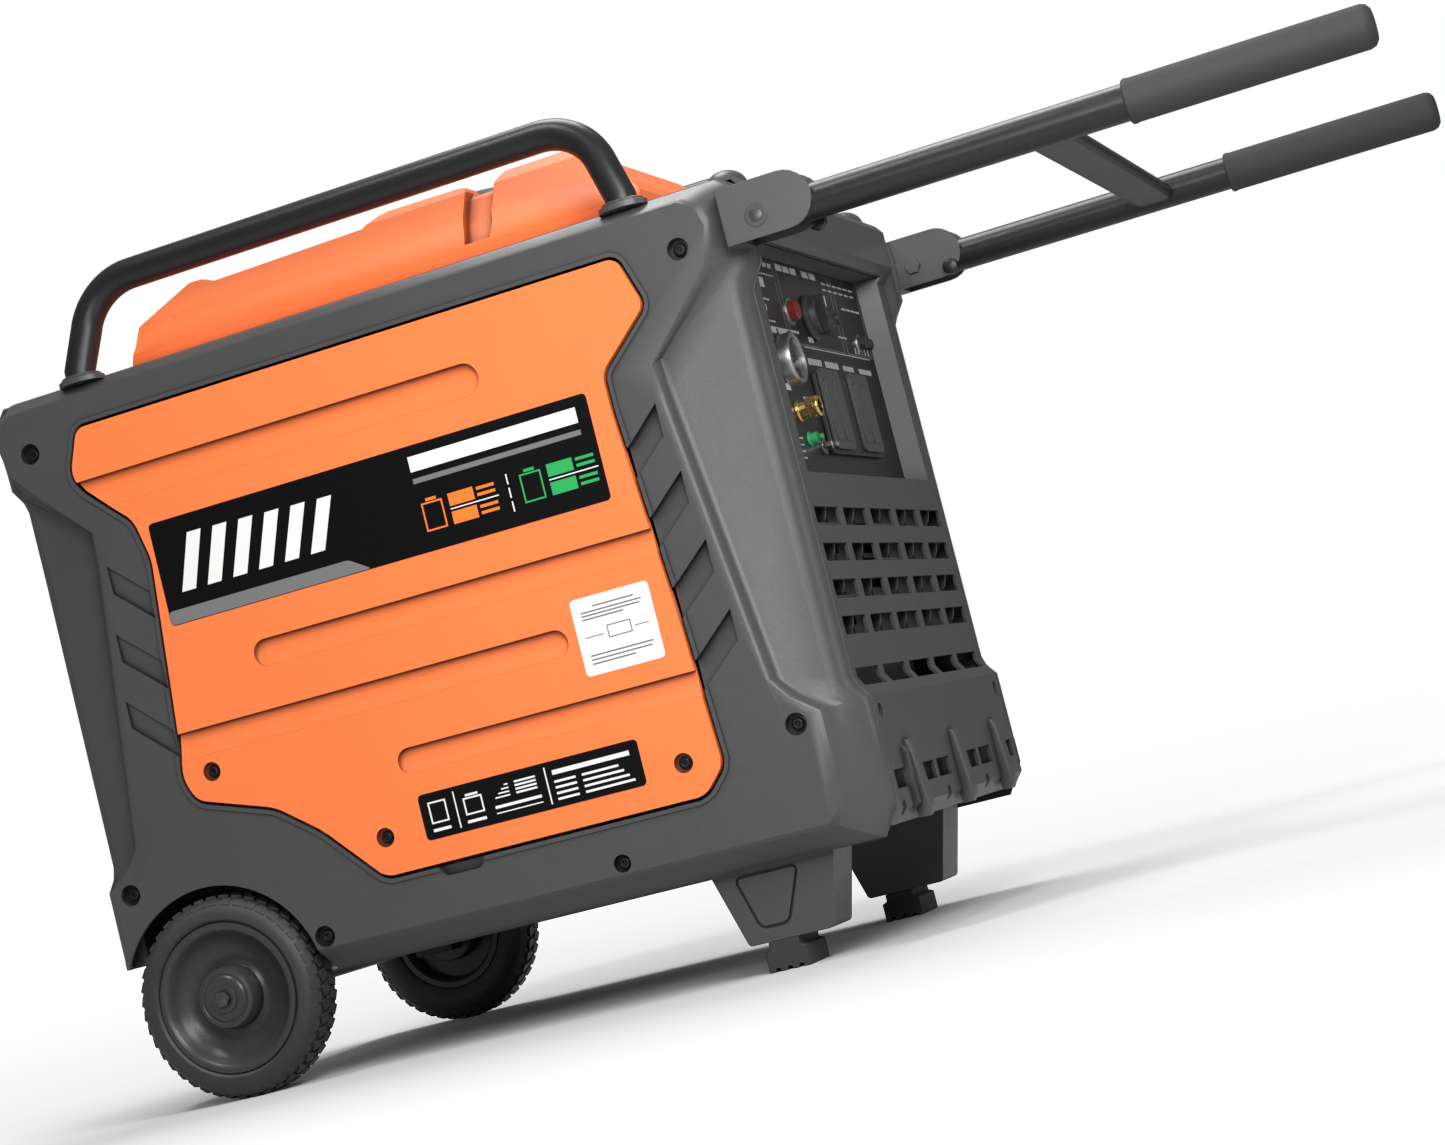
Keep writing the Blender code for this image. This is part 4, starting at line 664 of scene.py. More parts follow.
# Each mark is in millimetres: from x to x, from z to z, and then the lean of a bar or the line of a box.
white = [(52 + 26 * k, 66 + 26 * k, 447, 497 - k, 18) for k in range(6)]
white += [(x + 26, x + 72, 450, 451) for x in (294, 388)] + [(376, 377.2, z, z + 9) for z in (433, 445, 457)]
for k in range(4):
    z = 200.5 + 3.2 * k
    white += [(296 + 3.5 * k, 310, z, z + 1.2), (316, 336, z, z + 1.7)]
    z = 186 + 5 * k
    white += [(352, 372, z, z + 2), (378, 424 - 4 * k, z, z + 2)]
white += [
    (292, 452, 490.5, 504), (269, 281, 209, 211), (258, 259.2, 184, 216), (345, 346.2, 184, 216),
    (233, 250, 186, 188.5), (266, 284, 186, 188.5), (294, 338, 192, 194.5), (294, 338, 187.5, 188.5),
    (352, 424, 208, 212),
]
grey = [(292, 452, 480, 484.5), (424, 462, 337, 338.2), (411, 428, 312, 312.8), (457, 470, 312, 312.8)]
for z, end in ((333, 468), (330, 466), (327, 450), (296, 470), (292.5, 468), (289, 452)):
    grey.append((412, end, z, z + 1.2))
GROUPS = (
    ("white", "sticker", white, [(233, 250, 193, 212), (266, 284, 193, 208)]),
    ("orange", "band_orange", *symbol(294)), ("green", "band_green", *symbol(388)),
    ("grey", "band_grey", grey, [(432, 454, 308, 319, 0.9)]),
)
for label in SIDES:
    for name, finish, bars, boxes in GROUPS:
        shapes = [make(*[v / 1000 for v in row]) for make, rows in ((slab, bars), (ring_mark, boxes)) for row in rows]
        paired(f"marks_{name}", together(*shapes), "orange", label, finish=finish)
print(f"{sum(len(bars) + len(boxes) for *_, bars, boxes in GROUPS)} plain marks on each side")

# %% [markdown]
# ## End covers
#
# Behind each louvre slot is a shallow pocket with a curved rib, so air turns down through it and rain stays out.

# %% Pockets and ribs behind the slots
def slots_of(node):
    """(y low, y high, z low, z high) of every slot, from the short upright edges of the cover's outer skin."""
    bm = cad_copy(node)
    places = set()
    for edge in bm.edges:
        a, b = (vert.co for vert in edge.verts)
        if 0.0155 < abs(a.z - b.z) < 0.0165 and abs(a.y - b.y) < 1e-4 and abs(a.x - b.x) < 1e-4:
            places.add((round((a.z + b.z) / 2, 3), round(edge.verts[0].co.y, 4)))
    bm.free()
    rows = {}
    for z, y in sorted(places):
        rows.setdefault(z, []).append(y)
    return [(*pair, z - 0.008, z + 0.008) for z, ys in rows.items() for pair in zip(ys[::2], ys[1::2])]


def vane(x_face, inward, y_low, y_high, z_low, z_high):
    """A thin upright rib behind a slot, its front edge a quarter circle, and the back of the pocket behind it."""
    depth = 0.013
    arc = [math.radians(9 * k) for k in range(11)]
    height = z_high - z_low + 0.002
    edge = [(x_face + inward * depth * (1 - math.sin(a)), z_low - 0.001 + height * (1 - math.cos(a))) for a in arc]
    outline = [*edge, (x_face + inward * depth, z_high + 0.001), (x_face + inward * depth, z_low - 0.001)]
    y = y_low + (y_high - y_low) * 0.62
    rib = prism(outline[::-1], "Y", y - 0.0011, y + 0.0011)
    near, far = sorted((x_face + inward * (depth - 0.001), x_face + inward * (depth + 0.001)))
    back = block((near, y_low - 0.006, z_low - 0.006), (far, y_high + 0.006, z_high + 0.006))
    near, far = sorted((x_face, x_face + inward * depth))
    lid = block((near, y_low - 0.004, z_high + 0.001), (far, y_high + 0.004, z_high + 0.0025))
    return together(rib, back, lid)


FRONT_X, REAR_X = at(0.6185), at(-0.0965)
BULGE_OUT = 0.007  # the lowest rows of slots lie in a bulge, this much further out
front_slots, rear_slots = slots_of("front_cover"), slots_of("rear_cover")
vanes = [vane(FRONT_X - 0.003 + (BULGE_OUT if slot[3] < 0.26 else 0), -1, *slot) for slot in front_slots]
piece("vanes_front", together(*vanes), "housing", bevel=0.0003)
vanes = [vane(REAR_X + 0.003, 1, *slot) for slot in rear_slots]
piece("vanes_rear", together(*vanes), "housing", bevel=0.0003)
print(f"ribs behind {len(front_slots)} slots in front and {len(rear_slots)} at the back")

# %% Front and rear covers
BULGE_X = FRONT_X + 0.0115
windows = [
    block((BULGE_X - 0.012, y_low, 0.1255), (BULGE_X + 0.01, y_high, 0.1415)) for y_low, y_high in (
        (-0.212, -0.176), (-0.125, -0.082), (-0.072, -0.03), (0.03, 0.072), (0.082, 0.125), (0.176, 0.212),
    )
]
for y, z in ((-0.205, 0.109), (-0.052, 0.11), (0.09, 0.11), (-0.205, 0.193), (0.205, 0.193)):
    windows.append(rod((BULGE_X, y, z), "X", 0.024, 0.0062, 28))
fins = []
for y in (-0.154, 0.0, 0.154):
    side_view = off(BULGE_X, 0, (-3, 164), (4.5, 164), (7, 158), (10.5, 112), (10, 103), (6, 96.5), (-3, 96.5))
    fin = prism(side_view, "Y", y - 0.0085, y + 0.0085)
    outer = [e for e in fin.edges if all(v.co.x > BULGE_X for v in e.verts)]
    outer = [e for e in outer if abs(e.verts[0].co.y - e.verts[1].co.y) < 1e-5]
    bevelled(fin, outer, 0.0035)
    fins.append(fin)
front = solved(cad_copy("front_cover"), DIFFERENCE=together(*windows), UNION=fins)
backs = block((BULGE_X - 0.017, -0.21, 0.1), (BULGE_X - 0.0155, 0.21, 0.2))
piece("bulge_back", backs, "black_plastic", bevel=0.0003)
domes = []
for y in (-0.18, 0.18):
    dome = bmesh.new()
    bmesh.ops.create_uvsphere(dome, u_segments=40, v_segments=20, radius=1)
    scale = Matrix.Diagonal((0.017, 0.026, 0.0135, 1))
    domes.append(moved(dome, Matrix.Translation((FRONT_X - 0.012, y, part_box("front_cover")[1].z + 0.001)) @ scale))
piece("hood_domes", together(*domes), "housing")
piece("cover_front", front, "housing", "front_cover", bevel=0.0008)
piece("cover_rear", cad_copy("rear_cover"), "housing", "rear_cover", bevel=0.001)
print(f"end covers made, with {len(windows)} openings and {len(fins)} fins in the bulge")

# %% [markdown]
# ## Tank cover and cap
#
# The hump follows the fuel tank under it. It is what two outlines have in common, one seen from the side and one
# from the front, with a wide bevel and one channel across it.

# %% The hump and its flange
hump_low, hump_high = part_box("tank_cover")
rim_z = hump_low.z + 0.003
along = (
    (0.012, -0.004), (0.02, 0.023), (0.025, 0.044), (0.075, 0.075), (0.088, 0.074), (0.102, 0.068), (0.256, 0.071),
    (0.267, 0.081), (0.276, 0.084), (0.348, 0.083), (0.356, 0.081), (0.363, 0.071), (0.385, 0.071), (0.393, 0.086),
    (0.403, 0.09), (0.452, 0.088), (0.466, 0.083), (0.522, 0.034), (0.53, 0.022), (0.531, -0.004),
)
profile = [(at(x), rim_z + rise) for x, rise in along]
half = 0.187
shoulder = (
    (half, -0.004), (half - 0.001, 0.019), (half - 0.006, 0.027), (0.173, 0.047), (0.152, 0.074), (0.128, 0.087),
    (0.11, 0.091),
)
across = [(-y, rim_z + rise) for y, rise in shoulder] + [(y, rim_z + rise) for y, rise in shoulder[::-1]]
x_low, x_high, depth, foot = at(0.36), at(0.389), 0.0095, rim_z + 0.022
channel = solved(
    prism(grown(across, 0.03), "X", x_low, x_high),
    DIFFERENCE=prism(grown(across, -depth), "X", x_low - 0.01, x_high + 0.01),
    INTERSECT=block((at(0), -0.3, foot), (at(0.6), 0.3, rim_z + 0.2)),
)
for vert in channel.verts:
    if vert.co.x > x_low + 0.01 and vert.co.z < foot + 0.004:
        vert.co.x -= 0.004
hump = solved(
    prism(profile, "Y", -half - 0.01, half + 0.01), INTERSECT=prism(across, "X", at(0), at(0.6)), DIFFERENCE=channel
)
sharp = [e for e in hump.edges if e.is_manifold and e.calc_face_angle(0) > math.radians(14)]
bevelled(hump, sharp, 0.0035)
skirt = block((hump_low.x, hump_low.y, hump_low.z), (hump_high.x, hump_high.y, rim_z))
cap_low, cap_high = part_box("fuel_cap")
cap_middle = centre_of("fuel_cap")
cap_r = (cap_high.x - cap_low.x) / 2
well = rod((cap_middle.x, cap_middle.y, cap_low.z + 0.02), "Z", 0.05, cap_r + 0.004, 64)
cover = piece("hump", together(solved(hump, DIFFERENCE=well), skirt), "orange", "tank_cover", smooth=30)
cover.modifiers.new("even shading", "WEIGHTED_NORMAL").keep_sharp = True
print("hump made, with", len(sharp), "edges rounded")

# %% The filler cap
RIBS = 24
top = cap_high.z - 0.006  # the hump hides the cap when seen from the side
cap = spun(
    [(0, cap_low.z), (cap_r - 0.001, cap_low.z), *off(cap_r, top, (-1, -6), (-5, -1), (-12, 0), (-13, -2)),
     (0, top - 0.002)],
    "Z", cap_middle, 64,
)
ribs = []
for k in range(RIBS):
    rib = block((cap_r - 0.002, -0.0014, cap_low.z + 0.001), (cap_r, 0.0014, top - 0.007))
    turn = Matrix.Translation((cap_middle.x, cap_middle.y, 0)) @ Matrix.Rotation(math.tau * k / RIBS, 4, "Z")
    ribs.append(moved(rib, turn))
bar = block(
    (cap_middle.x - 0.02, cap_middle.y - 0.004, top - 0.004), (cap_middle.x + 0.02, cap_middle.y + 0.004, top)
)
piece("filler_cap", together(cap, bar, *ribs), "black_plastic", "fuel_cap", bevel=0.0006)
print("filler cap made, with", RIBS, "ribs")

# %% [markdown]
# ## Wheels
#
# A solid rubber tyre on a moulded rim. The tread is two rows of leaning blocks with a groove between them, and a
# row of smaller blocks down each shoulder. Each is the same shape turned a little further round the axle.

# %% The tyre's profile and its lugs
LUGS = 44
HUB = (AXLE_X, 0, AXLE_Z)
inn, out = span("tyre_left")
middle = (inn + out) / 2
tyre_low, tyre_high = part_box("tyre_left")
radius = (tyre_high.z - tyre_low.z) / 2
seat = radius - 0.0326
lip_r = seat + 0.0092
wall = off(seat, out, (0.3, -9.5), (9.2, -9), (10, -2.6), (12.2, -0.3), (18, -0.4))
wall += off(radius, out, (-10.5, -2.2), (-6, -5.5), (-3.2, -10), (-2.2, -16)) + [(radius - 0.002, middle)]
inner_wall = off(seat, out, (0.3, -5), (2, -2.8), (6.5, -0.8), (12, 0)) + wall[4:-1]
profile = wall + [(r, 2 * middle - y) for r, y in reversed(inner_wall)]
# Each row of lugs: from y to y, its top, how far its lugs lie ahead, how they lean, and which end slopes away.
ROWS = (
    (middle + 0.0012, out - 0.0115, radius, 0.0, -18, None), (inn + 0.0115, middle - 0.0012, radius, 0.5, 18, None),
    (out - 0.0105, out - 0.0035, radius - 0.0022, 0.5, 0, max),
    (inn + 0.0035, inn + 0.0105, radius - 0.0022, 0.0, 0, min),
)


def lug(y_low, y_high, top, ahead, lean, sloped):
    bm = block((-0.0046, y_low, top - 0.006), (0.0046, y_high, top))
    for vert in bm.verts:
        if sloped and abs(vert.co.y - sloped(y_low, y_high)) < 1e-6:
            vert.co.z -= 0.0052
    pivot = Matrix.Translation((0, (y_low + y_high) / 2, 0))
    return moved(bm, pivot @ Matrix.Rotation(math.radians(lean), 4, "Z") @ pivot.inverted())


print(f"a tyre of {LUGS * len(ROWS)} lugs")

# %% Tyres, rims and hub bolts
rim_low, rim_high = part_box("wheel_rim_left")
rim_r = (rim_high.z - rim_low.z) / 2
hub_in, hub_out = span("wheel_rim_left")
face = out - 0.005
front_side = off(0, hub_out, (10.3, 0), (19, 0), (20.4, -1.2), (21.8, -1.2), (22.8, -0.6), (25.8, -1.6), (27.4, -4.2))
front_side += off(
    0, face, (28.2, -11.8), (30.4, -13.6), (35, -14.2), (41, -13.6), (47, -11.4), (52, -8), (56, -3.6), (59, 1),
    (61.2, 3.4), (64, 4.2),
)
front_side += off(lip_r, face, (-0.6, 3.6), (0.2, 2), (0.2, -3.5)) + [(rim_r, face - 0.0045)]
back_side = [(rim_r, inn + 0.006), (rim_r - 0.001, inn + 0.005)]
back_side += off(0, inn, (51.5, 5), (49, 8), (47, 21), (30, 21)) + off(0, hub_in, (29.6, 1), (28.5, 0), (10.3, 0))
root, tip = span("hub_bolt_left")
for label in SIDES:
    treads = []
    for k in range(LUGS):
        for row in ROWS:
            turn = Matrix.Translation(HUB) @ Matrix.Rotation(math.tau * (k + row[3]) / LUGS, 4, "Y")
            treads.append(moved(lug(*row), turn))
    tyre = together(spun(profile, "Y", HUB, 96), *treads)
    paired("tyre_visual", tyre, "tyre", label, "tyre", bevel=0.0005, steps=1)
    rim = spun(front_side + back_side, "Y", HUB, 72)
    paired("rim_visual", rim, "black_plastic", label, "wheel_rim", finish="rim")
    washer = [(0, root), (0.0122, root), (0.0125, root + 0.0004), (0.0122, root + 0.0018), (0, root + 0.0018)]
    head = prism(hexagon(AXLE_X, AXLE_Z, 0.0072), "Y", root + 0.0016, tip - 0.0002)
    dome = spun([(0, root), (0.0058, root), (0.0056, tip - 0.0005), (0.004, tip), (0, tip)], "Y", HUB, 24)
    bolt = together(spun(washer, "Y", HUB, 40), head, dome)
    paired("hub_bolt_visual", bolt, "steel", label, "hub_bolt", finish="bolt", bevel=0.0004)
print("tyres, rims and hub bolts made")

# %% [markdown]
# ## Legs and feet
#
# The front stands on two hollow moulded legs. A line round a pad on each face hides where it is screwed on, and a
# rubber foot with teeth under it keeps the machine from walking across the truck bed.

# %% Legs and feet
for label in SIDES:
    low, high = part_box("leg_" + label)
    inn, out = span("leg_" + label)
    outline = [(at(0.446), high.z), (at(0.469), low.z), (at(0.545), low.z), (at(0.566), high.z)]
    pad = rounded([(at(0.4715), 0.084), (at(0.484), 0.04), (at(0.508), 0.04), (at(0.5265), 0.084)], 0.005)
    line = prism(grown(pad, 0.0022), "Y", out - 0.0025, out + 0.01)
    line = solved(line, DIFFERENCE=prism(pad, "Y", out - 0.02, out + 0.02))
    leg = solved(prism(rounded(outline, 0.003), "Y", inn, out), DIFFERENCE=line)
    paired("leg_visual", leg, "housing", label, "leg", bevel=0.001, steps=3)
    foot = "rubber_foot_" + label
    piece("foot_visual_" + label, cad_copy(foot), "rubber", foot, bevel=0.0008)
print("legs and feet made")

# %% [markdown]
# ## Lift bars
#
# Two bent tubes to lift the machine by. Each foot sits in an oval collar moulded on the shell.

# %% Bars bent from round tube
def swept(path, radius, around=10):
    """A tube along a path, made by Blender's own curve bevel."""
    curve = bpy.data.curves.new("path", "CURVE")
    curve.dimensions, curve.bevel_depth, curve.bevel_resolution, curve.use_fill_caps = "3D", radius, around, True
    spline = curve.splines.new("POLY")
    spline.points.add(len(path) - 1)
    for point, place in zip(spline.points, path):
        point.co = (*place, 1)
    obj = bpy.data.objects.new("path", curve)
    bpy.context.scene.collection.objects.link(obj)
    bm = bmesh.new()
    bm.from_mesh(obj.evaluated_get(bpy.context.evaluated_depsgraph_get()).to_mesh())
    bpy.data.objects.remove(obj)
    bpy.data.curves.remove(curve)
    return bm


def bent(points, radius, steps=14):
    """The corners of a path rounded to a bend radius."""
    path = [Vector(points[0])]
    for before, here, after in zip(points, points[1:], points[2:]):
        here = Vector(here)
        back, ahead = (Vector(before) - here).normalized(), (Vector(after) - here).normalized()
        half = math.acos(back.dot(ahead)) / 2
        reach = radius / math.tan(half)
        centre = here + (back + ahead).normalized() * radius / math.sin(half)
        start, end = here + back * reach - centre, here + ahead * reach - centre
        path += [centre + start.slerp(end, k / steps) * radius for k in range(steps + 1)]
    return path + [Vector(points[-1])]


BAR_R, BEND_R = 0.014, 0.055
FOOT_Y, TOP_Y = 0.24, 0.226
collar_profile = [
    (0, -0.004), *off(BAR_R, 0, (5.6, -4), (5.4, 0.4), (4.4, 1), (3, 1.2), (2.6, 3), (1.6, 3.8)), (0, 0.0038),
]
for label in SIDES:
    low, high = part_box("lift_bar_" + label)
    top = high.z - BAR_R
    rear, front = (at(-0.0085), FOOT_Y, low.z), (at(0.53), FOOT_Y, low.z)
    path = bent([rear, (at(0.014), TOP_Y, top), (at(0.508), TOP_Y, top), front], BEND_R)
    heels = [Vector((x, y, z + 0.008)) for x, y, z in (rear, front)]
    bar = swept([path[0], heels[0], *path[1:-1], heels[1], path[-1]], BAR_R)
    collars = []
    for foot in (rear, front):
        stretch = Matrix.Translation(foot) @ Matrix.Diagonal((1.12, 0.92, 1, 1))
        collars.append(moved(spun(collar_profile, "Z", (0, 0, 0), 48), stretch))
    paired("lift_bar_visual", bar, "black_steel", label, "lift_bar")
    paired("lift_collars", together(*collars), "housing", label)
print("lift bars made")

# %% [markdown]
# ## Folding handle
#
# Two steel tubes with foam grips turn on bolts in their brackets. A flat crossbar ties them, so both swing as one.

# %% Tubes, grips and crossbar
pivot = centre_of("pivot_bolt_left")
for label in SIDES:
    low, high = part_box("handle_tube_" + label)
    tube_r = (high.y - low.y) / 2
    centre = (0, abs(low.y + high.y) / 2, pivot.z)
    arc = [math.radians(10 * k) for k in range(10)]
    nose = [(tube_r * math.sin(a), pivot.x - tube_r * math.cos(a)) for a in arc]
    tube = spun([*nose, (tube_r, high.x), (0, high.x)], "X", centre, 48)
    paired("tube_visual", tube, "black_steel", label, "handle_tube")
    low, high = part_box("handle_grip_" + label)
    grip_r = (high.y - low.y) / 2
    grip = spun(
        [(0, low.x), (tube_r + 0.0002, low.x), *off(grip_r, low.x, (-1.2, 0), (0, 1.4), (0, 4), (-0.5, 5.5)),
         *off(grip_r, high.x, (-0.5, -8), (-2, -3.5), (-6, -0.5), (-9, 0)), (0, high.x - 0.0006)],
        "X", centre, 48,
    )
    paired("grip_visual", grip, "foam", label, "handle_grip")
piece("crossbar_visual", cad_copy("handle_crossbar"), "black_steel", "handle_crossbar", bevel=0.0012)
print("tubes, grips and crossbar made")

# %% Brackets, pivot bolts and lock pins
for label in SIDES:
    bracket = "handle_bracket_" + label
    piece("bracket_visual_" + label, cad_copy(bracket), "black_steel", bracket, finish="bracket", bevel=0.0007)
    plate = span(bracket)[1]
    inn, out = span("pivot_bolt_" + label)
    washer = [(0, plate - 0.001), (0.0098, plate - 0.001), (0.0098, plate + 0.001), (0, plate + 0.001)]
    crown = [(0, plate), (0.0058, plate), (0.0056, out - 0.0004), (0.0045, out), (0, out)]
    bolt = together(
        spun(washer, "Y", pivot, 40), prism(hexagon(pivot.x, pivot.z, 0.008), "Y", plate, out - 0.0008),
        spun(crown, "Y", pivot, 32), rod((pivot.x, (out + inn) / 2, pivot.z), "Y", out - inn - 0.002, 0.0048),
        prism(hexagon(pivot.x, pivot.z, 0.0082), "Y", inn, inn + 0.0036),
    )
    paired("pivot_visual", bolt, "steel", label, "pivot_bolt", finish="bolt", bevel=0.0004)
    inn, out = span("lock_pin_" + label)
    pin = spun(
        off(0, out, (0, 0), (2.8, 0), (3, -0.4))
        + off(0, inn, (3, 12), (7.8, 11.8), (8, 10.5), (7.2, 8.5), (7.2, 5.5), (8, 4), (7, 1.2), (4, 0), (0, 0)),
        "Y", centre_of("lock_pin_" + label), 32,
    )
    paired("lock_pin_visual", pin, "steel", label, "lock_pin", finish="black_steel")
print("brackets, pivot bolts and lock pins made")

# %% [markdown]
# ## Control panel
#
# Everything the cook touches is here: the engine dial, the start button, a switch, a breaker and the outlets.
# The printing on the panel is plain lines and frames, with no words.

# %% The panel and its plain printing
LOOKS.update(looks(
    ("panel_face", (0.01, 0.01, 0.011), 0.36, 0.0, 1300, 0.0001, 0.3, 0.0),
    ("print", (0.46, 0.46, 0.45), 0.5, 0.0, 900, 0.00002, 0.3, 0.0),
))
PANEL_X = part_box("control_panel")[1].x
piece("panel_visual", cad_copy("control_panel"), "black_plastic", "control_panel", finish="panel_face", bevel=0.0004)
# Each row, in millimetres: where its first mark starts, how many there are, how far apart, and one mark's size.
MARKS = (
    (-150, 598, 5, 14, 10, 4), (-150, 590, 9, 7.5, 4.5, 1.6), (-70, 598, 3, 22, 18, 6), (10, 598, 2, 24, 19, 6),
    (70, 596, 6, 18, 13, 1.8), (70, 590, 6, 18, 11, 1.8), (-152, 578, 2, 20, 14, 9), (-152, 566, 4, 10, 7, 1.8),
    (-152, 556, 3, 11, 2, 6), (-150, 546, 5, 8, 5.5, 1.8), (-135, 541, 1, 10, 60, 0.9), (-140, 536, 2, 30, 24, 5),
    (-72, 540, 3, 9, 6, 2.4), (-82, 522, 2, 15, 11, 12), (-82, 516, 5, 6, 4, 1.4), (-40, 512, 6, 7.2, 5.2, 6),
    (14, 512, 6, 7.2, 5.2, 6), (72, 512, 5, 7.2, 5.2, 5), (126, 512, 6, 7.2, 5.2, 5), (-40, 528, 1, 10, 215, 0.9),
    (-20, 534, 2, 8, 5, 5), (84, 545, 3, 10, 7, 1.6), (130, 532, 5, 11, 3, 6), (120, 575, 4, 16, 12, 1.8),
    (-148, 484, 2, 18, 13, 6), *[(-148, z, 3, 10, 8, 1.2) for z in (440, 434, 428, 422)], (-85, 476, 2, 9, 6, 4),
)
PRINT_EDGE = 0.186
marks = []
for y, z, count, *sizes in MARKS:
    pitch, width, height = [size / 1000 for size in sizes]
    for y_low in [y / 1000 + k * pitch for k in range(count)]:
        if max(abs(y_low), abs(y_low + width)) < PRINT_EDGE:
            high = (PANEL_X + 0.00025, y_low + width, z / 1000 + height)
            marks.append(block((PANEL_X - 0.0003, y_low, z / 1000), high))
print(len(marks), "plain marks printed on the panel")
piece("panel_marks", together(*marks), "black_plastic", finish="print")
LINE = 0.0008
frames = []
for y_low, y_high in ((-0.156, -0.081), (-0.072, 0.093), (0.103, 0.187)):
    frame_line = prism(rect(y_low, y_high, 0.53, 0.614), "X", PANEL_X - 0.0003, PANEL_X + 0.0002)
    inside = rect(y_low + LINE, y_high - LINE, 0.53 + LINE, 0.614 - LINE)
    frames.append(solved(frame_line, DIFFERENCE=prism(inside, "X", PANEL_X - 0.001, PANEL_X + 0.001)))
piece("panel_frames", together(*frames), "black_plastic", finish="band_grey")


# %% Dial, buttons and switch
def facing(node):
    """The middle of a part on the panel, where it starts and ends in X, and its radius."""
    low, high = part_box(node)
    return (low + high) / 2, low.x, high.x, (high.y - low.y) / 2


centre, base, tip, r = facing("engine_dial")
dial = spun(
    [(0, base), *off(r, base, (0, 0), (0, 2.8), (-2.2, 5), (-4, 5.6), (-5, 10), (-6.5, 11.2)), (0, base + 0.0112)],
    "X", centre, 48,
)
wing = rounded(rect(centre.y - 0.0045, centre.y + 0.0045, centre.z - r + 0.004, centre.z + r - 0.003), 0.003)
piece("dial_visual", together(dial, prism(wing, "X", base + 0.006, tip)), "black_plastic", "engine_dial", bevel=0.0005)
mark = block(
    (tip - 0.0004, centre.y - 0.0008, centre.z + 0.006), (tip + 0.0002, centre.y + 0.0008, centre.z + r - 0.006)
)
piece("dial_mark", mark, "black_plastic", body="dial", finish="sticker")
for name, slot in (("start", "red"), ("breaker", "black_plastic")):
    centre, base, tip, r = facing(name + "_button")
    button = [(0, base), (r, base), *off(r, tip, (0, -1.4), (-1.4, 0), (-3, -0.4)), (0, tip - 0.0008)]
    piece(name + "_visual", spun(button, "X", centre, 40), slot, name + "_button")
    ring = off(r, PANEL_X, (0.8, -0.5), (4, -0.5), (3.6, 1.6), (1, 2))
    piece(name + "_visual_ring", spun(ring, "X", centre, 40), "steel")
piece("rocker_visual", cad_copy("eco_rocker"), "black_plastic", "eco_rocker", bevel=0.0006)
centre = centre_of("eco_rocker")
frame_out = rounded(rect(centre.y - 0.0095, centre.y + 0.0095, centre.z - 0.015, centre.z + 0.015), 0.002)
frame_in = rect(centre.y - 0.0068, centre.y + 0.0068, centre.z - 0.0118, centre.z + 0.0118)
bezel = prism(frame_out, "X", PANEL_X - 0.0003, PANEL_X + 0.0016)
bezel = solved(bezel, DIFFERENCE=prism(frame_in, "X", PANEL_X - 0.01, PANEL_X + 0.01))
piece("rocker_bezel", bezel, "black_plastic", bevel=0.0004)
print("dial, two buttons and a switch made")

# %% Locking outlet, gas inlet and earth terminals
centre, base, tip, r = facing("locking_outlet")
ring = off(r, base, (-5.2, 0), (0, 0)) + off(r, tip, (0, -4), (-1.2, -0.6), (-3, 0), (-5, -1), (-5.6, -4))
piece("outlet_ring", spun(ring, "X", centre, 56), "steel", "locking_outlet")
core = [(0, base), (r - 0.0055, base), (r - 0.0055, tip - 0.0055), *off(0, tip, (3.5, -5.5), (3, -3.5), (0, -3.5))]
blades = []
for k in range(4):
    blade = block((tip - 0.012, 0.0094, -0.0045), (tip + 0.002, 0.0116, 0.0045))
    turn = Matrix.Translation((0, centre.y, centre.z)) @ Matrix.Rotation(math.radians(20 + 90 * k), 4, "X")
    blades.append(moved(blade, turn))
core = solved(spun(core, "X", centre, 48), DIFFERENCE=together(*blades))
piece("outlet_core", core, "black_plastic", bevel=0.0002)
centre, base, tip, r = facing("gas_inlet")
nut = prism(hexagon(centre.y, centre.z, r), "X", base + 0.01, base + 0.017)
tip = base + 0.021
spout = spun(
    off(0, base, (0, 0), (10, 0), (10, 2), (8.8, 3), (8.8, 10))
    + off(0, tip, (9.8, -4), (9.4, -1), (8.4, 0), (6.2, 0), (5.6, -6), (0, -6)),
    "X", centre, 40,
)
piece("inlet_visual", together(nut, spout), "brass", "gas_inlet", bevel=0.0004)
centre, base, tip, r = facing("earth_terminal")
earth = spun(
    [(0, base), *off(r, base, (-2, 0), (-2.4, 1.8)), *off(0, base, (5.6, 2.6), (5.2, 8), (2.6, 8.5)),
     *off(0, tip, (2.6, -1.6), (1.8, -1), (0, -1))],
    "X", centre, 32,
)
piece("earth_visual", earth, "green", "earth_terminal")
post = off(0, base, (0, 0), (7.5, 0), (7.2, 3), (3.6, 3.6), (3.4, 10), (0, 10.6))
wing_nut = (
    block((base + 0.004, -0.077, 0.4328), (base + 0.008, -0.055, 0.4352)),
    block((base + 0.006, -0.078, 0.432), (base + 0.013, -0.072, 0.436)),
    block((base + 0.006, -0.06, 0.432), (base + 0.013, -0.054, 0.436)),
)
piece("ground_post", together(spun(post, "X", (0, -0.066, 0.434), 32), *wing_nut), "steel", bevel=0.0005)
studs = []
for y, z, r in ((0.187, 0.545, 0.0055), (0.093, 0.564, 0.006)):
    stud = [(0, PANEL_X - 0.0005), *off(r, PANEL_X, (0, -0.5), (-0.6, 3), (-2, 4.2)), (0, PANEL_X + 0.0044)]
    studs.append(spun(stud, "X", (0, y, z), 32))
piece("panel_studs", together(*studs), "black_plastic")
print("outlet, inlet and terminals made")

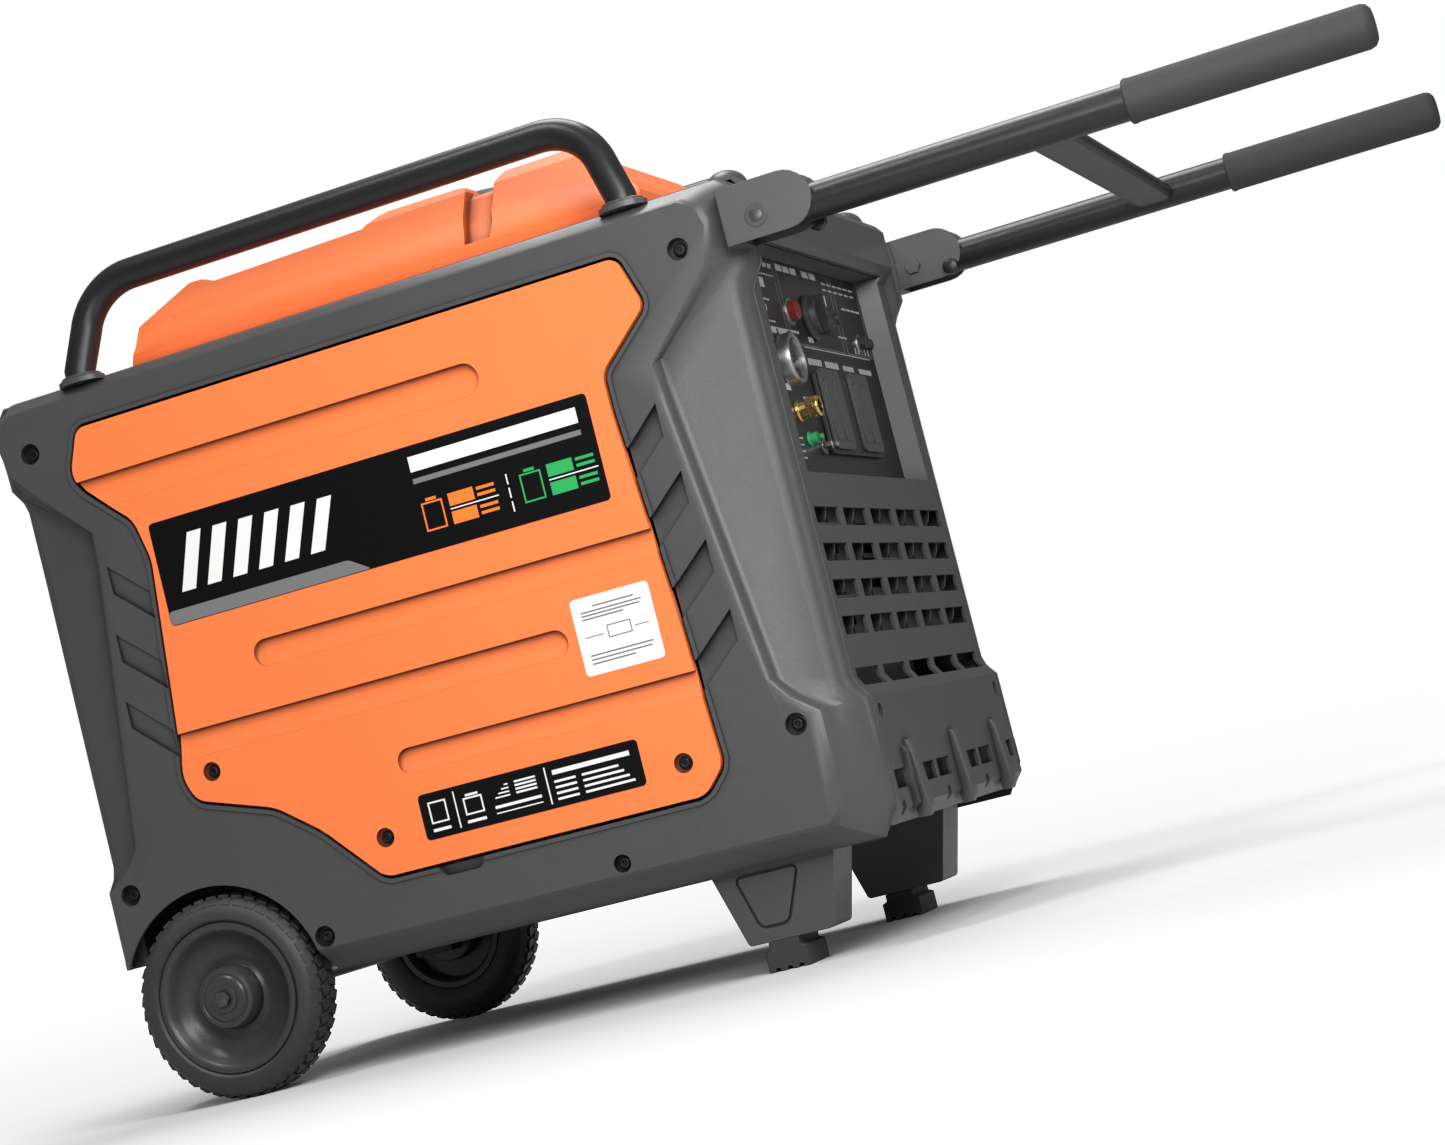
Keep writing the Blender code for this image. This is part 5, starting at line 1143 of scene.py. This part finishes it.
# %% Outlet block and its two spring flaps
piece("outlet_block_visual", cad_copy("outlet_block"), "black_plastic", "outlet_block", bevel=0.0008)
for label in ("inner", "outer"):
    node = "outlet_flap_" + label
    low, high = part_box(node)
    lid = prism(rounded(rect(low.y, high.y, low.z, high.z), 0.006), "X", low.x, high.x - 0.0008)
    raised = []
    for y in (low.y + 0.017, high.y - 0.017):
        outline = rounded(rect(y - 0.0125, y + 0.0125, low.z + 0.008, high.z - 0.01), 0.004)
        raised.append(prism(outline, "X", high.x - 0.003, high.x))
    hinge = (low.x + 0.0022, (low.y + high.y) / 2, high.z - 0.002)
    barrel = rod(hinge, "Y", (high.y - low.y) * 0.8, 0.002, 20)
    piece("flap_visual_" + label, together(lid, barrel, *raised), "housing", node, bevel=0.0006)
print("outlet block and flaps made")

# %% [markdown]
# ## Inside and underneath
#
# These nodes already have the right shape, so they stay. They only take a finish.

# %% Finish the CAD nodes that still show
INSIDE = {
    "steel": ("tail_pipe", "axle", "crankshaft", "flywheel_rotor"),
    "casting": ("engine_block", "cylinder_head", "muffler", "carburettor", "inverter_module"),
    "brass": ("stator",),
    "black_steel": ("base_frame",),
    "black_plastic": (
        "fuel_tank", "battery", "air_cleaner", "recoil_housing", "recoil_pulley", "cooling_fan", "recoil_grip",
    ),
}
for slot, names in INSIDE.items():
    for name in names:
        obj = nodes[name]
        obj.data.materials.clear()
        obj.data.materials.append(LOOKS[slot])
print(sum(len(names) for names in INSIDE.values()), "CAD nodes took a finish")

# %% [markdown]
# ## Stage
#
# The floor only catches shadows, and the camera sees the same white beyond it. The world itself gives little light;
# six soft lamps give the rest, from the near side, in front and above.

# %% Floor, lights and camera
scene = bpy.context.scene
scene.view_settings.view_transform = "Standard"
floor = bmesh.new()
bmesh.ops.create_grid(floor, x_segments=1, y_segments=1, size=40)
floor = held(floor, "floor")
LOOKS.update(looks(("floor", (0.6, 0.6, 0.6), 0.9, 0.0, 60, 0.0, 0.01, 0.0)))
floor.data.materials.append(LOOKS["floor"])
floor.is_shadow_catcher = True

world = bpy.data.worlds.new("studio")
world.use_nodes = True
sky = world.node_tree
seen = sky.nodes["Background"]
seen.inputs["Color"].default_value = (1, 1, 1, 1)
seen.inputs["Strength"].default_value = 1.0
lighting = add(sky, "ShaderNodeBackground", in_Color=(1, 1, 1, 1), in_Strength=0.19)
choice = add(sky, "ShaderNodeMixShader")
sky.links.new(add(sky, "ShaderNodeLightPath").outputs["Is Camera Ray"], choice.inputs[0])
sky.links.new(lighting.outputs[0], choice.inputs[1])
sky.links.new(seen.outputs[0], choice.inputs[2])
sky.links.new(choice.outputs[0], sky.nodes["World Output"].inputs["Surface"])
scene.world = world


def area_light(name, place, target, size, power, shine=True, height=None):
    light = bpy.data.lights.new(name, "AREA")
    light.shape, light.size, light.size_y, light.energy = "RECTANGLE", size, height or size, power
    obj = bpy.data.objects.new(name, light)
    obj.location, obj.visible_glossy = place, shine
    obj.rotation_euler = (Vector(target) - Vector(place)).to_track_quat("-Z", "Y").to_euler()
    scene.collection.objects.link(obj)


area_light("key", (0.8, -1.22, 1.05), (0.2, -0.26, 0.42), 0.75, 18)
area_light("sheen", (0.42, -2.2, 0.85), (0.25, -0.26, 0.45), 1.2, 15, height=0.5)
area_light("fill", (-1.7, -2.8, 1.0), (0, 0, 0.35), 1.4, 9, shine=False)
area_light("strip", (-0.6, -1.2, 2.6), (0, 0, 0.5), 0.5, 16)
area_light("front", (3.2, 0.4, 1.2), (0.3, 0, 0.4), 0.8, 11)
area_light("top", (-0.2, 0.7, 2.8), (0, 0, 0.4), 1.2, 42)

azimuth, elevation, roll = 0.3152, -0.072, -0.2482
level = math.cos(elevation)
back = Vector((math.sin(azimuth) * level, -math.cos(azimuth) * level, math.sin(elevation)))
right = Vector((math.cos(azimuth), math.sin(azimuth), 0))
up = back.cross(right)
turned_right = math.cos(roll) * right + math.sin(roll) * up
turned_up = -math.sin(roll) * right + math.cos(roll) * up
camera = bpy.data.cameras.new("camera")
camera.lens, camera.sensor_width = 76.66, 36
camera_object = bpy.data.objects.new("camera", camera)
axes = Matrix((turned_right, turned_up, back)).transposed().to_4x4()
camera_object.matrix_world = Matrix.Translation((0.8059, -2.6918, 0.151)) @ axes
scene.collection.objects.link(camera_object)
scene.camera = camera_object
print("stage, lights and camera ready")

# %% Import json
import json
